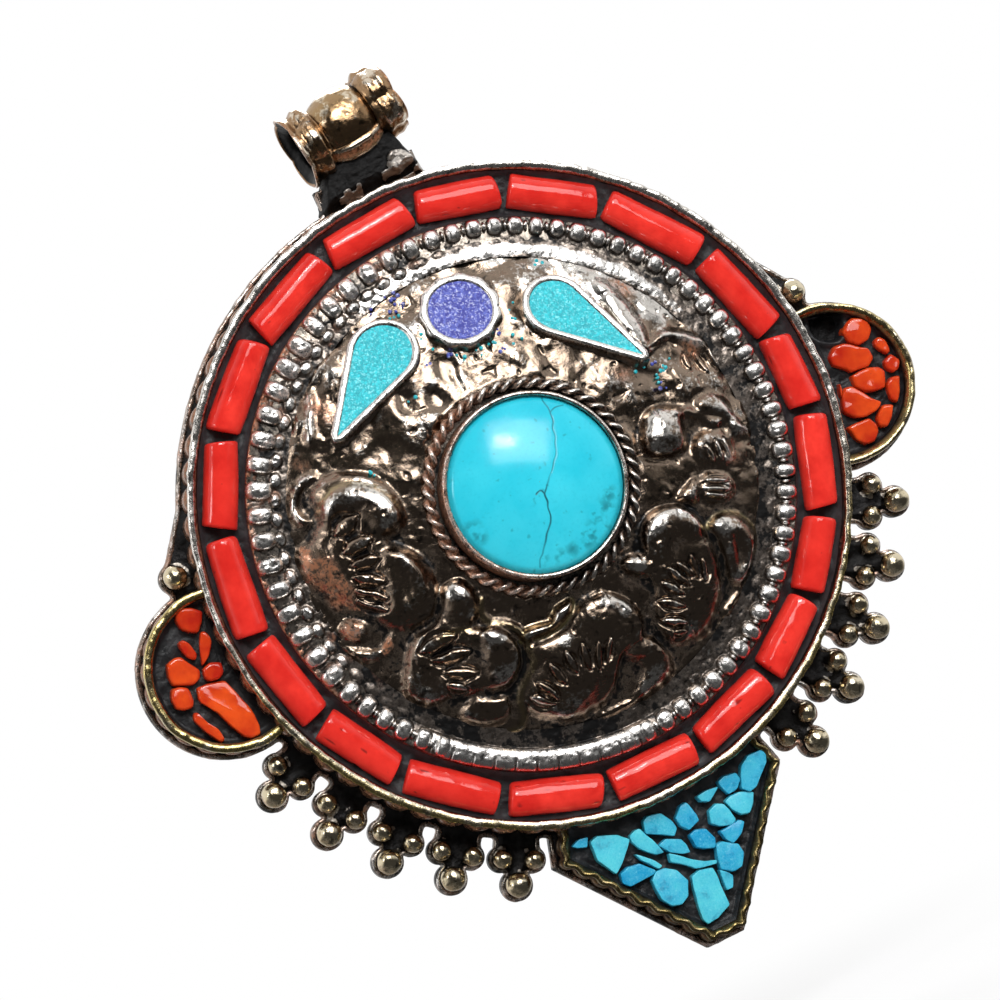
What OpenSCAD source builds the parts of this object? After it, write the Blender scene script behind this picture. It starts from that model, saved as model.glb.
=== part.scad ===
// Ghau: a round amulet box worn as a pendant, in millimetres.
// The pieces are drawn lying on their back: X to the right, Y towards the bail, Z out of the face.
// hang() then stands them up, with the middle of the bail's bore at the origin and the face to -Y.

/* [Base plate] */
// Thickness of the plate that everything is soldered to
plate_t = 0.8; // [0.6:0.1:1.2]
// How far the plate shows beyond the bezels
plate_lip = 0.3; // [0.2:0.05:0.5]
// Radius of the window in the plate that opens the dome to the case
window_r = 16.6; // [14:0.2:17]

/* [Rim bezel] */
// Diameter across the crest of the rim bezel
rim_d = 48; // [46:0.5:54]
// Wall of the rim bezel
rim_wall = 0.65; // [0.5:0.05:0.8]
// Height of the rim bezel above the plate
rim_h = 3.3; // [3:0.1:4]
// Diameter of one flute on the bezels' outer sides
flute_d = 1; // [0.8:0.05:1.2]
// Distance from one flute to the next
flute_pitch = 1.95; // [1.6:0.05:2.6]

/* [Coral ring] */
// Diameter of a coral tube
coral_d = 2.7; // [2.4:0.1:2.9]
// Clearance between a tube and each wall of its channel
channel_gap = 0.35; // [0.25:0.05:0.5]
// Least distance between the ends of two tubes
coral_gap = 0.35; // [0.2:0.05:0.6]
// Bevel on the ends of a tube
coral_bevel = 0.3; // [0.1:0.05:0.5]

/* [Dome] */
// Thickness of the dome's sheet
dome_wall = 0.55; // [0.4:0.05:0.8]
// Height of the dome above its shoulder, at the middle of its sphere
dome_rise = 3.95; // [3.4:0.05:4.6]
// Height of the shoulder that carries the beaded ring, above the plate
shoulder_h = 3.1; // [2.6:0.1:3.6]
// Width of the beaded ring
bead_ring_w = 2.45; // [2:0.05:2.8]
// Diameter of a bead in the beaded ring
bead_d = 1.3; // [1:0.05:1.5]
// Height of the chased shapes above the dome
chase_h = 0.65; // [0.4:0.05:0.9]

/* [Centre stone] */
// Diameter of the turquoise cabochon
cab_d = 12.6; // [11:0.2:14]
// Height of the cabochon above its seat
cab_h = 3.5; // [3:0.1:4.5]
// Height of the cabochon's straight side
cab_girdle_h = 1.7; // [1.4:0.1:2]
// Wall of the cabochon's cup
cup_wall = 0.4; // [0.3:0.05:0.6]
// Height of the cup above its seat
cup_h = 2.1; // [1.8:0.1:2.4]
// Diameter of the rope wire round the cup
rope_d = 0.95; // [0.7:0.05:1.2]
// Distance from the cup to the rope wire
rope_gap = 0.2; // [0.1:0.05:0.5]

/* [Inlays] */
// Wall of the bezels round the three small inlays
inlay_wall = 0.4; // [0.3:0.05:0.5]
// Height of those bezels above the dome
inlay_h = 0.8; // [0.6:0.1:1.2]
// Diameter of the lapis inlay
lapis_d = 4.6; // [4:0.1:5.2]
// Diameter of the left teardrop's round end
left_drop_d = 4.2; // [3.6:0.1:4.6]
// Distance from that round end's middle to the left teardrop's point
left_drop_reach = 7; // [6:0.1:7.6]
// Diameter of the right teardrop's round end
right_drop_d = 3.9; // [3.4:0.1:4.4]
// Distance from that round end's middle to the right teardrop's point
right_drop_reach = 7.2; // [6:0.1:7.8]

/* [Ears] */
// Outer radius of an ear cell
ear_r = 6; // [5.4:0.1:6.4]
// Distance from the rim's crest to the middle of an ear's circle
ear_out = 0.6; // [0.3:0.1:1]
// Wall of the ear and triangle bezels
cell_wall = 0.75; // [0.6:0.05:0.9]
// Height of the ear bezels above the plate
ear_h = 2.4; // [2:0.1:3]
// Depth of resin in the ear and triangle cells
cell_resin_h = 1.5; // [1.2:0.1:1.7]

/* [Triangle] */
// Width of the triangle cell at its top
tri_w = 17.8; // [16:0.2:19]
// Width of the triangle cell's blunt tip
tri_tip_w = 2.6; // [2:0.1:3.2]
// Distance from the rim's crest to the tip
tri_reach = 10.8; // [9:0.2:12]
// Height of the triangle's bezel above the plate
tri_h = 2.2; // [2:0.1:2.8]

/* [Granules] */
// Diameter of the two inner granules of a cluster
granule_d = 1.45; // [1.2:0.05:1.6]
// Diameter of the outer granule of a cluster
big_granule_d = 1.85; // [1.6:0.05:2]
// Diameter of the single granule above each ear
ear_granule_d = 1.75; // [1.5:0.05:1.9]
// Clusters on each side
cluster_count = 5; // [3:1:5]

/* [Bail] */
// Diameter of the bore for the cord
bore_d = 3.2; // [2.8:0.1:3.4]
// Length of the bail's tube, which is also the bore's
bail_l = 5.4; // [5:0.1:6]
// Largest diameter of the bulb
bulb_d = 5.3; // [5.1:0.1:5.6]
// Length of a flared collar
collar_l = 2; // [1.6:0.1:2.4]
// Diameter of a collar's rim
collar_d = 5.8; // [5.4:0.1:6.2]
// Height of the bore's axis above the plate's back
bail_axis_h = 1.5; // [1:0.1:2.4]
// Width of the plate's tab below the bail
tab_w = 7.9; // [7:0.1:9]
// How far the tab stands up from the rim's crest
tab_h = 2; // [1.6:0.1:2.6]

/* [Case and lid] */
// Outer diameter of the case's wall
case_d = 38.4; // [37:0.2:40]
// Thickness of the case's wall
case_wall_t = 0.7; // [0.5:0.05:0.9]
// Depth of the case behind the plate
case_depth = 4.4; // [4:0.1:6]
// Thickness of the lid's plate
lid_t = 0.6; // [0.5:0.05:0.8]
// Depth of the lid's rim
lid_rim_h = 3; // [2:0.1:3.4]
// Thickness of the lid's rim
lid_rim_t = 0.6; // [0.5:0.05:0.8]
// Running clearance between the case's wall and the lid's rim
lid_fit = 0.05; // [0.02:0.01:0.1]
// How far the lid's plate stands out past its rim, for a fingernail
lid_lip = 0.5; // [0.3:0.1:0.8]

/* [Amulet] */
// Distance from the corners of the folded prayer paper to the case's wall
packet_gap = 0.8; // [0.5:0.1:2]
// Thickness of the folded prayer paper
packet_t = 2.4; // [2:0.1:2.8]
// Width of the thread's band on the packet
thread_w = 1.2; // [0.8:0.1:2]
// Thickness of the thread's band
thread_t = 0.4; // [0.3:0.05:0.6]
// Gap under the packet and under the lid's plate
rest_gap = 0.1; // [0.05:0.05:0.2]

/* [Hidden] */
$fn = 96;

// Overrun of every cut
cut = 1;
// Turn of the whole bail against the pendant's level
bail_cant = 8.4;

// The rim, its channel and what stands in it
rim_r = rim_d / 2;
rim_in_r = rim_r - rim_wall;
flute_r = flute_d / 2;
flute_ring_r = rim_r - flute_r / 2;
flute_out_r = flute_ring_r + flute_r;
channel_w = coral_d + 2 * channel_gap;
skirt_r = rim_in_r - channel_w;
coral_ring_r = rim_in_r - channel_w / 2;
coral_z = plate_t + rim_h - coral_d / 3;
resin_z = coral_z - coral_d / 12;
crest_h_share = 0.14;
crest_h = rim_h * crest_h_share;
crest_r = rim_r + flute_r / 8;
// Length of each tube against the mean, in order round the ring to the right
coral_shares = [
  1.00, 1.15, 1.05, 0.85, 1.05, 0.85, 0.90, 1.00, 1.00, 1.05,
  1.05, 0.95, 1.00, 1.10, 0.95, 1.05, 1.05, 1.00, 0.95
];
coral_start = -21.8;

// The dome
shoulder_z = plate_t + shoulder_h;
bead_lip_share = 0.04;
dome_r = skirt_r - bead_ring_w - bead_lip_share * bead_ring_w;
sphere_r = (dome_r * dome_r + dome_rise * dome_rise) / (2 * dome_rise);
sphere_z = shoulder_z + dome_rise - sphere_r;
cab_fit_share = 0.05;
cab_fit = cup_wall * cab_fit_share;
cup_r = cab_d / 2 + cab_fit + cup_wall;
rope_ring_r = cup_r + rope_gap + rope_d / 2;
seat_r = rope_ring_r + rope_d / 2 + rope_gap;
seat_z = dome_z(seat_r);
function dome_z(r) = sphere_z + sqrt(sphere_r * sphere_r - r * r);

// Chased shapes on the dome, each a run of round lobes: a lobe's angle,
// and its distance and radius as shares of the dome's radius
lobe_shares = [
  [72, 0.71, 0.15], [85, 0.84, 0.15], [96, 0.76, 0.15], [102, 0.66, 0.14], [103, 0.92, 0.11],
  [68, 0.93, 0.06], [123, 0.56, 0.09], [127, 0.79, 0.15], [135, 0.73, 0.13], [144, 0.71, 0.11],
  [144, 0.92, 0.09], [180, 0.68, 0.18], [169, 0.76, 0.19], [162, 0.83, 0.14], [161, 0.58, 0.04],
  [189, 0.88, 0.11], [226, 0.61, 0.13], [216, 0.74, 0.16], [209, 0.82, 0.14], [209, 0.53, 0.05],
  [231, 0.90, 0.11], [226, 0.94, 0.09], [268, 0.60, 0.10], [268, 0.86, 0.07], [258, 0.79, 0.08],
  [246, 0.79, 0.07], [285, 0.90, 0.12], [312, 0.91, 0.07], [303, 0.87, 0.07]
];

// The inlays: angle and distance from the middle as a share of the dome's radius
lapis_turn = -4.3;
lapis_at_share = 0.77;
left_drop_turn = 22;
left_drop_at_share = 0.80;
left_drop_aim = 217;
right_drop_turn = -34;
right_drop_at_share = 0.755;
right_drop_aim = -57;

// The cells
ear_turn = 95.6;
ear_mid_r = rim_r + ear_out;
tri_top_y = -(rim_r + plate_lip);
tri_tip_y = -(rim_r + tri_reach);
tri_root_y = -sqrt(rim_in_r * rim_in_r - tri_w * tri_w / 4);
tri_shoulder_share = 0.08;
tri_chamfer_share = 0.1;

// Stones: place along and across the cell, length and width, all as shares of the cell's size,
// then the turn, the number of sides and the height above the resin as a share of the bezel's
right_chip_shares = [
  [0.48, 0.49, 0.34, 0.32, 10, 8, 0.50], [0.73, 0.28, 0.28, 0.18, 75, 6, 0.35],
  [0.30, 0.24, 0.44, 0.28, 30, 7, 0.45], [0.75, 0.02, 0.20, 0.16, 110, 5, 0.35],
  [0.43, -0.05, 0.38, 0.26, 20, 7, 0.60], [0.71, -0.26, 0.34, 0.18, 110, 6, 0.30],
  [0.28, -0.38, 0.40, 0.30, 30, 6, 0.55], [0.50, -0.55, 0.28, 0.18, 110, 5, 0.35],
  [0.20, -0.67, 0.31, 0.25, 40, 7, 0.50], [-0.03, -0.06, 0.24, 0.08, 90, 6, 0.20]
];
left_chip_shares = [
  [0.10, 0.70, 0.34, 0.30, 0, 6, 0.50], [0.08, 0.34, 0.42, 0.15, 70, 6, 0.45],
  [0.33, 0.44, 0.28, 0.16, 130, 6, 0.35], [0.46, 0.20, 0.42, 0.30, -20, 7, 0.55],
  [0.16, 0.04, 0.26, 0.20, 10, 6, 0.45], [0.62, -0.04, 0.30, 0.24, 60, 6, 0.35],
  [0.26, -0.36, 0.80, 0.28, 104, 8, 0.60], [0.56, -0.46, 0.44, 0.15, 112, 6, 0.35]
];
tri_chip_shares = [
  [-0.73, 0.03, 0.22, 0.06, 10, 5, 0.30], [-0.52, 0.19, 0.29, 0.25, -30, 7, 0.60],
  [-0.27, 0.21, 0.27, 0.11, -58, 6, 0.45], [-0.11, 0.13, 0.25, 0.15, -20, 6, 0.60],
  [0.12, 0.17, 0.19, 0.17, 60, 5, 0.45], [0.30, 0.09, 0.16, 0.09, 0, 5, 0.35],
  [0.47, 0.11, 0.16, 0.15, 20, 6, 0.50], [0.67, 0.08, 0.28, 0.15, 50, 6, 0.60],
  [0.52, 0.28, 0.17, 0.16, 0, 5, 0.55], [0.31, 0.29, 0.16, 0.15, -20, 6, 0.75],
  [0.36, 0.46, 0.16, 0.13, 30, 5, 0.40], [0.15, 0.38, 0.17, 0.15, -30, 6, 0.70],
  [-0.05, 0.34, 0.21, 0.10, -25, 6, 0.50], [0.00, 0.50, 0.26, 0.07, -8, 6, 0.30],
  [0.25, 0.61, 0.20, 0.18, 80, 6, 0.55], [-0.24, 0.40, 0.16, 0.06, -50, 5, 0.35],
  [-0.42, 0.43, 0.22, 0.13, 0, 6, 0.45], [-0.21, 0.62, 0.24, 0.22, 40, 7, 0.60],
  [0.00, 0.78, 0.32, 0.17, -82, 6, 0.60], [0.15, 0.80, 0.09, 0.055, -70, 5, 0.35]
];
// How far each corner of a stone lies from an even ring, as a share of that ring's radius
corner_shares = [1.00, 0.88, 0.97, 0.84, 1.00, 0.90, 0.95];

// The granules: angles of the clusters and of the single one above an ear
cluster_start = 115.3;
cluster_pitch = 9.75;
pair_spread = 2.5;
ear_granule_turn = 78.6;
inner_granule_r = flute_out_r + flute_r + granule_d * 0.9;
outer_granule_r = inner_granule_r + (granule_d + big_granule_d) / 2 + plate_lip / 2;
ear_granule_r = flute_out_r + plate_lip + ear_granule_d / 2;
finger_lip = plate_lip * 0.8;

// The bail
bore_r = bore_d / 2;
bulb_r = bulb_d / 2;
neck_share = 0.25;
neck_r = bore_r + (bulb_r - bore_r) * neck_share;
bulb_l_share = 0.8;
bulb_l = bail_l * bulb_l_share;
collar_wall = (bulb_r - bore_r) * neck_share;
collar_lap = (bail_l - bulb_l) / 2;
collar_end = bulb_l / 2 + collar_l;
tab_top = rim_r + tab_h;
tab_gap = plate_lip / 3;
saddle_w = bulb_l * 0.8;
saddle_lap = plate_t;
saddle_t = bail_axis_h * 0.9;
bail_y = tab_top + tab_gap + collar_d / 2 * cos(bail_cant) + collar_end * sin(bail_cant);

// The case
case_r = case_d / 2;
lid_rim_in_r = case_r + lid_fit;
lid_rim_r = lid_rim_in_r + lid_rim_t;
lid_r = lid_rim_r + lid_lip;
lid_top_z = -case_depth - rest_gap;
packet_w = sqrt(2) * (case_r - case_wall_t - packet_gap);
packet_z = -case_depth + thread_t + rest_gap;

module hang() {
  rotate([90, 0, 0]) translate([0, -bail_y, -bail_axis_h]) children();
}

// A point at distance r, turned a degrees to the left of straight up
function at(r, a) = [-r * sin(a), r * cos(a)];

// The corners of a convex outline moved inwards by d
function inset(p, d) = [
  for (i = [0 : len(p) - 1])
    let (
      a = p[(i + len(p) - 1) % len(p)],
      b = p[i],
      c = p[(i + 1) % len(p)],
      n = side_normal(a, b),
      m = side_normal(b, c)
    )
    b - d * (n + m) / (1 + n * m)
];
function side_normal(a, b) = [b[1] - a[1], a[0] - b[0]] / norm(b - a);

module ring(outer, inner, low, high) {
  translate([0, 0, low]) linear_extrude(high - low) difference() {
    circle(outer);
    circle(inner);
  }
}

// The triangle's outline, counter-clockwise, with its tip down
function triangle_corners() = [
  [tri_tip_w / 2, tri_tip_y],
  [tri_w / 2, tri_top_y - tri_reach * tri_shoulder_share],
  [tri_w / 2 - tri_reach * tri_chamfer_share, tri_root_y],
  [-tri_w / 2 + tri_reach * tri_chamfer_share, tri_root_y],
  [-tri_w / 2, tri_top_y - tri_reach * tri_shoulder_share],
  [-tri_tip_w / 2, tri_tip_y]
];

module ear_place(side) {
  translate(at(ear_mid_r, side * ear_turn)) children();
}

module rim_outline() {
  circle(crest_r);
  for (i = [0 : rim_flutes - 1]) translate(at(flute_ring_r, i * 360 / rim_flutes)) circle(flute_r, $fn = 24);
}
rim_flutes = floor(2 * PI * flute_ring_r / flute_pitch);

// Base plate: the sheet under everything, with its tab, webs, ears, fingers and triangle
module plate_outline() {
  rotate(90) circle(flute_out_r + plate_lip);
  translate([-tab_w / 2, 0]) square([tab_w, tab_top]);
  plate_side();
  mirror([1, 0]) plate_side();
  polygon(inset(triangle_corners(), -plate_lip));
}

// The left side of the plate: its ear, its fingers, and the web that runs from the rim to the ear
module plate_side() {
  ear_place(1) circle(ear_r + plate_lip);
  granule_fingers();
  polygon([
    at(rim_in_r - rim_wall, web_turn), at(flute_out_r, web_turn),
    at(ear_granule_r + ear_granule_d / 2, ear_granule_turn), at(ear_mid_r + rim_wall, ear_turn),
    at(rim_in_r - rim_wall, ear_turn)
  ]);
}
web_turn = 64;

// A scalloped finger of sheet under each cluster, and a lobe under the ear's granule
module granule_fingers() {
  lobe(ear_granule_r, ear_granule_turn, ear_granule_d);
  for (i = [0 : cluster_count - 1]) {
    a = cluster_start + i * cluster_pitch;
    root = pair_spread + asin(granule_d * 0.4 / inner_granule_r);
    polygon([
      at(rim_r, a - root), at(inner_granule_r, a - root),
      at(outer_granule_r, a), at(inner_granule_r, a + root), at(rim_r, a + root)
    ]);
    lobe(outer_granule_r, a, big_granule_d);
    for (s = [-1, 1]) lobe(inner_granule_r, a + s * pair_spread, granule_d);
  }
}

module lobe(r, a, ball_d) {
  translate(at(r, a)) circle(ball_d / 2 + finger_lip, $fn = 32);
}

module base_plate() {
  color("dimgray") hang() linear_extrude(plate_t) difference() {
    plate_outline();
    circle(window_r);
  }
}

// Rim bezel: a fluted wall with a hammered crest rolled over it
module rim_bezel() {
  color("goldenrod") hang() difference() {
    union() {
      translate([0, 0, plate_t]) linear_extrude(rim_h - crest_h) rim_outline();
      translate([0, 0, plate_t]) cylinder(h = rim_h, r = crest_r);
    }
    cylinder(h = plate_t + rim_h + cut, r = rim_in_r);
  }
}

coral_sum = sum(coral_shares);
function sum(v, i = 0) = i < len(v) ? v[i] + sum(v, i + 1) : 0;
function sum_before(v, n, i = 0) = i < n ? v[i] + sum_before(v, n, i + 1) : 0;
function coral_span(i) = 360 * coral_shares[i] / coral_sum;
function coral_turn(i) = coral_start - 360 * sum_before(coral_shares, i) / coral_sum - coral_span(i) / 2;
function coral_l(i) = 2 * (coral_ring_r - coral_d / 2) * tan(coral_span(i) / 2) - coral_gap;

module coral_tube(l) {
  rotate([0, 90, 0]) rotate_extrude($fn = 32) polygon([
    [0, -l / 2], [coral_d / 2 - coral_bevel, -l / 2], [coral_d / 2, -l / 2 + coral_bevel],
    [coral_d / 2, l / 2 - coral_bevel], [coral_d / 2 - coral_bevel, l / 2], [0, l / 2]
  ]);
}

module coral_ring() {
  for (i = [0 : len(coral_shares) - 1])
    rotate(coral_turn(i)) translate([0, coral_ring_r, coral_z]) coral_tube(coral_l(i));
}

// Coral tubes: nineteen, end to end round the channel
module coral_tubes() {
  color("tomato") hang() coral_ring();
}

// Channel resin: the black bed that the tubes are sunk in
module channel_resin() {
  color("black") hang() difference() {
    ring(rim_in_r, skirt_r, plate_t, resin_z);
    coral_ring();
  }
}

module dome_solid(inset) {
  intersection() {
    translate([0, 0, sphere_z]) sphere(sphere_r - inset, $fn = 300);
    translate([0, 0, plate_t]) cylinder(h = dome_rise + shoulder_h - inset, r = dome_r - inset);
  }
}

// The chased shapes, standing up from the dome's skin by an even height
module chased_shapes() {
  intersection() {
    translate([0, 0, sphere_z]) sphere(sphere_r + chase_h, $fn = 300);
    translate([0, 0, shoulder_z]) cylinder(h = dome_rise + chase_h, r = dome_r);
    translate([0, 0, shoulder_z]) linear_extrude(dome_rise + chase_h)
      for (b = lobe_shares) rotate(b[0]) translate([0, b[1] * dome_r]) circle(b[2] * dome_r);
  }
}

// The dome's outer skin above its shoulder, cut flat for the centre stone's seat
module dome_skin() {
  difference() {
    union() {
      dome_solid(0);
      chased_shapes();
    }
    translate([0, 0, seat_z]) cylinder(h = sphere_r, r = seat_r);
  }
}

// Dome: one raised sheet with its skirt, its shoulder and its chased shapes
module dome() {
  color("sienna") hang() difference() {
    union() {
      ring(skirt_r, dome_r - dome_wall, plate_t, shoulder_z);
      dome_skin();
    }
    translate([0, 0, plate_t - cut]) cylinder(h = shoulder_h - dome_wall + cut, r = skirt_r - dome_wall);
    intersection() {
      dome_solid(dome_wall);
      cylinder(h = seat_z - dome_wall, r = dome_r);
    }
  }
}

// Beaded ring: a band with one row of beads along each edge
module bead_row(r) {
  beads = floor(2 * PI * r / (bead_d * bead_step_share));
  for (i = [0 : beads - 1]) translate(at(r, i * 360 / beads)) circle(bead_d / 2, $fn = 16);
}
bead_step_share = 1.28;

module beaded_ring() {
  outer = skirt_r - bead_d / 2;
  inner = skirt_r - bead_ring_w + bead_d / 2;
  color("silver") hang() translate([0, 0, shoulder_z]) linear_extrude(bead_d / 2) {
    difference() {
      union() {
        circle(outer);
        bead_row(outer);
      }
      circle(inner);
    }
    bead_row(inner);
  }
}

// Cup: the plain bezel round the centre stone
module cabochon_cup() {
  color("gray") hang() ring(cup_r, cup_r - cup_wall, seat_z, seat_z + cup_h);
}

// Rope wire: the twisted wire round the cup, soldered flat to the seat
module rope_wire() {
  color("silver") hang() rotate_extrude() intersection() {
    translate([rope_ring_r, seat_z + rope_d * 0.4]) circle(rope_d / 2, $fn = 24);
    translate([rope_ring_r - rope_d, seat_z]) square([2 * rope_d, rope_d]);
  }
}

// Turquoise cabochon: a straight girdle under a shallow round top
module turquoise_cabochon() {
  stone_r = cab_d / 2;
  top_h = cab_h - cab_girdle_h;
  top_r = (stone_r * stone_r + top_h * top_h) / (2 * top_h);
  color("turquoise") hang() translate([0, 0, seat_z]) intersection() {
    cylinder(h = cab_h + cut, r = stone_r);
    translate([0, 0, cab_h - top_r]) sphere(top_r);
  }
}

// Places a flat outline on the dome's skin, standing square to it
module on_dome(turn, at_share) {
  r = at_share * dome_r;
  rotate(turn) translate([0, r, dome_z(r)]) rotate([-asin(r / sphere_r), 0, 0]) rotate(-turn) children();
}

// A teardrop: its two straight sides leave the round end where they touch it
module drop_outline(d, reach) {
  a = acos(d / 2 / reach);
  polygon(concat([[reach, 0]], [
    for (i = [0 : drop_sides]) let (t = a + (360 - 2 * a) * i / drop_sides) [cos(t), sin(t)] * d / 2
  ]));
}
drop_sides = 24;

// Cuts a standing inlay or bezel off along the dome's skin
module seated_on_dome(turn, at_share, h) {
  difference() {
    on_dome(turn, at_share) translate([0, 0, -inlay_root]) linear_extrude(h + inlay_root) children();
    dome_solid(0);
  }
}

module round_outline(grow) {
  circle(lapis_d / 2 + grow);
}
module left_drop_outline(grow) {
  rotate(left_drop_aim) drop_outline(left_drop_d + 2 * grow, left_drop_reach + 2.2 * grow);
}
module right_drop_outline(grow) {
  rotate(right_drop_aim) drop_outline(right_drop_d + 2 * grow, right_drop_reach + 2.2 * grow);
}
inlay_root = 1;
inlay_sink_share = 0.15;
inlay_top = inlay_h * (1 - inlay_sink_share);

// Lapis: a round inlay in a round bezel
module lapis_bezel() {
  color("silver") hang() seated_on_dome(lapis_turn, lapis_at_share, inlay_h) difference() {
    round_outline(inlay_wall);
    round_outline(0);
  }
}
module lapis_inlay() {
  color("navy") hang() seated_on_dome(lapis_turn, lapis_at_share, inlay_top) round_outline(0);
}

// Left teardrop: crushed turquoise in a pointed bezel
module left_teardrop_bezel() {
  color("silver") hang() seated_on_dome(left_drop_turn, left_drop_at_share, inlay_h) difference() {
    left_drop_outline(inlay_wall);
    left_drop_outline(0);
  }
}
module left_teardrop_inlay() {
  color("turquoise") hang()
    seated_on_dome(left_drop_turn, left_drop_at_share, inlay_top) left_drop_outline(0);
}

// Right teardrop
module right_teardrop_bezel() {
  color("silver") hang() seated_on_dome(right_drop_turn, right_drop_at_share, inlay_h) difference() {
    right_drop_outline(inlay_wall);
    right_drop_outline(0);
  }
}
module right_teardrop_inlay() {
  color("turquoise") hang()
    seated_on_dome(right_drop_turn, right_drop_at_share, inlay_top) right_drop_outline(0);
}

// Ear cells: each a round bezel that leans on the rim
module ear_flutes() {
  count = floor(2 * PI * ear_r / flute_pitch);
  for (i = [0 : count - 1])
    rotate(i * 360 / count) translate([0, ear_r - flute_r / 2]) circle(flute_r / 2, $fn = 24);
}
module ear_bezel(side) {
  hang() translate([0, 0, plate_t]) linear_extrude(ear_h) difference() {
    ear_place(side) {
      circle(ear_r - flute_r / 2);
      ear_flutes();
    }
    ear_place(side) circle(ear_in_r);
    rim_outline();
  }
}
ear_in_r = ear_r - cell_wall;

// A stone: an uneven flat-topped prism, sunk into its resin
module chip(l, w, sides, h) {
  linear_extrude(h) polygon([
    for (i = [0 : sides - 1])
      let (a = i * 360 / sides, k = corner_shares[(i * 2 + sides) % len(corner_shares)])
      [cos(a) * l / 2 * k, sin(a) * w / 2 * k]
  ]);
}

module ear_chips(side, table) {
  ear_place(side) rotate(side * ear_turn) for (c = table)
    translate([side * c[1] * ear_r, c[0] * ear_r, plate_t + cell_resin_h / 2])
      rotate(side * (90 + c[4]))
        chip(c[2] * ear_r, c[3] * ear_r, c[5], cell_resin_h / 2 + c[6] * (ear_h - cell_resin_h));
}

module ear_resin(side, table) {
  hang() difference() {
    translate([0, 0, plate_t]) linear_extrude(cell_resin_h) difference() {
      ear_place(side) circle(ear_in_r);
      rim_outline();
    }
    ear_chips(side, table);
    if (side < 0) ear_place(side) rotate(side * ear_turn)
      translate([side * pocket_shares[1] * ear_r, pocket_shares[0] * ear_r, plate_t + cell_resin_h / 3])
        cylinder(h = cell_resin_h, r = pocket_shares[2] * ear_r);
  }
}
// The empty pocket in the right ear, where a stone is missing: its place and radius against the ear
pocket_shares = [0.19, 0.68, 0.16];

module left_ear_bezel() {
  color("goldenrod") ear_bezel(1);
}
module left_ear_resin() {
  color("black") ear_resin(1, left_chip_shares);
}
module left_ear_corals() {
  color("orangered") hang() ear_chips(1, left_chip_shares);
}
module right_ear_bezel() {
  color("goldenrod") ear_bezel(-1);
}
module right_ear_resin() {
  color("black") ear_resin(-1, right_chip_shares);
}
module right_ear_corals() {
  color("orangered") hang() ear_chips(-1, right_chip_shares);
}

// Triangle cell below the rim
module flutes_along(a, b) {
  count = floor(norm(b - a) / flute_pitch);
  for (i = [0 : count]) translate(a + (b - a) * i / count) circle(flute_r / 2, $fn = 24);
}
module triangle_wall() {
  corners = inset(triangle_corners(), flute_r / 2);
  polygon(corners);
  flutes_along(corners[0], corners[1]);
  flutes_along(corners[4], corners[5]);
}
module triangle_bezel() {
  color("darkkhaki") hang() translate([0, 0, plate_t]) linear_extrude(tri_h) difference() {
    triangle_wall();
    polygon(inset(triangle_corners(), cell_wall));
    rim_outline();
  }
}
module triangle_chips() {
  for (c = tri_chip_shares)
    translate([c[0] * tri_w / 2, tri_top_y - c[1] * tri_reach * 0.95, plate_t + cell_resin_h / 2])
      rotate(c[4])
        chip(c[2] * tri_reach, c[3] * tri_reach, c[5], cell_resin_h / 2 + c[6] * (tri_h - cell_resin_h));
}
module triangle_resin() {
  color("black") hang() difference() {
    translate([0, 0, plate_t]) linear_extrude(cell_resin_h) difference() {
      polygon(inset(triangle_corners(), cell_wall));
      rim_outline();
    }
    triangle_chips();
  }
}
module triangle_turquoise() {
  color("deepskyblue") hang() triangle_chips();
}

// Granules: balls melted on short posts
module granule(r, a, d) {
  rotate(a) translate([0, r, plate_t]) {
    cylinder(h = d / 2, r = d * 0.42, $fn = 24);
    translate([0, 0, d / 2]) difference() {
      sphere(d / 2, $fn = 24);
      translate([0, 0, -d]) cube([2 * d, 2 * d, d], center = true);
    }
  }
}
module granules(side) {
  hang() {
    granule(ear_granule_r, side * ear_granule_turn, ear_granule_d);
    for (i = [0 : cluster_count - 1]) {
      a = side * (cluster_start + i * cluster_pitch);
      granule(outer_granule_r, a, big_granule_d);
      for (s = [-1, 1]) granule(inner_granule_r, a + s * pair_spread, granule_d);
    }
  }
}
module left_granules() {
  color("gold") granules(1);
}
module right_granules() {
  color("gold") granules(-1);
}

// The bail lies along its own X axis, canted a little
module along_bail() {
  hang() translate([0, bail_y, bail_axis_h]) rotate(bail_cant) rotate([0, 90, 0]) children();
}
module bulb_profile(inner) {
  // A round bulb on a straight tube
  bulge_h = bulb_r - neck_r;
  bulge_r = (bulb_l * bulb_l / 4 + bulge_h * bulge_h) / (2 * bulge_h);
  translate([inner, -bail_l / 2]) square([neck_r - inner, bail_l]);
  intersection() {
    translate([bulb_r - bulge_r, 0]) circle(bulge_r);
    translate([inner, -bulb_l / 2]) square([bulb_r - inner + cut, bulb_l]);
  }
}

// Bail tube: a bulb with the cord's bore through it
module bail_tube() {
  color("goldenrod") along_bail() rotate_extrude() bulb_profile(bore_r);
}

// Collars: a flared end on each side of the bulb, slid over the tube's neck
module collar() {
  start = bulb_l / 2;
  rim = collar_d / 2;
  rotate_extrude() polygon([
    [neck_r, start], [neck_r, start + collar_lap], [rim - collar_wall, collar_end], [rim, collar_end],
    [rim, collar_end - collar_wall],
    [neck_r + collar_wall * 2, start + collar_lap], [neck_r + collar_wall, start]
  ]);
}
module bail_right_collar() {
  color("goldenrod") along_bail() collar();
}
module bail_left_collar() {
  color("goldenrod") along_bail() mirror([0, 0, 1]) collar();
}

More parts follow.
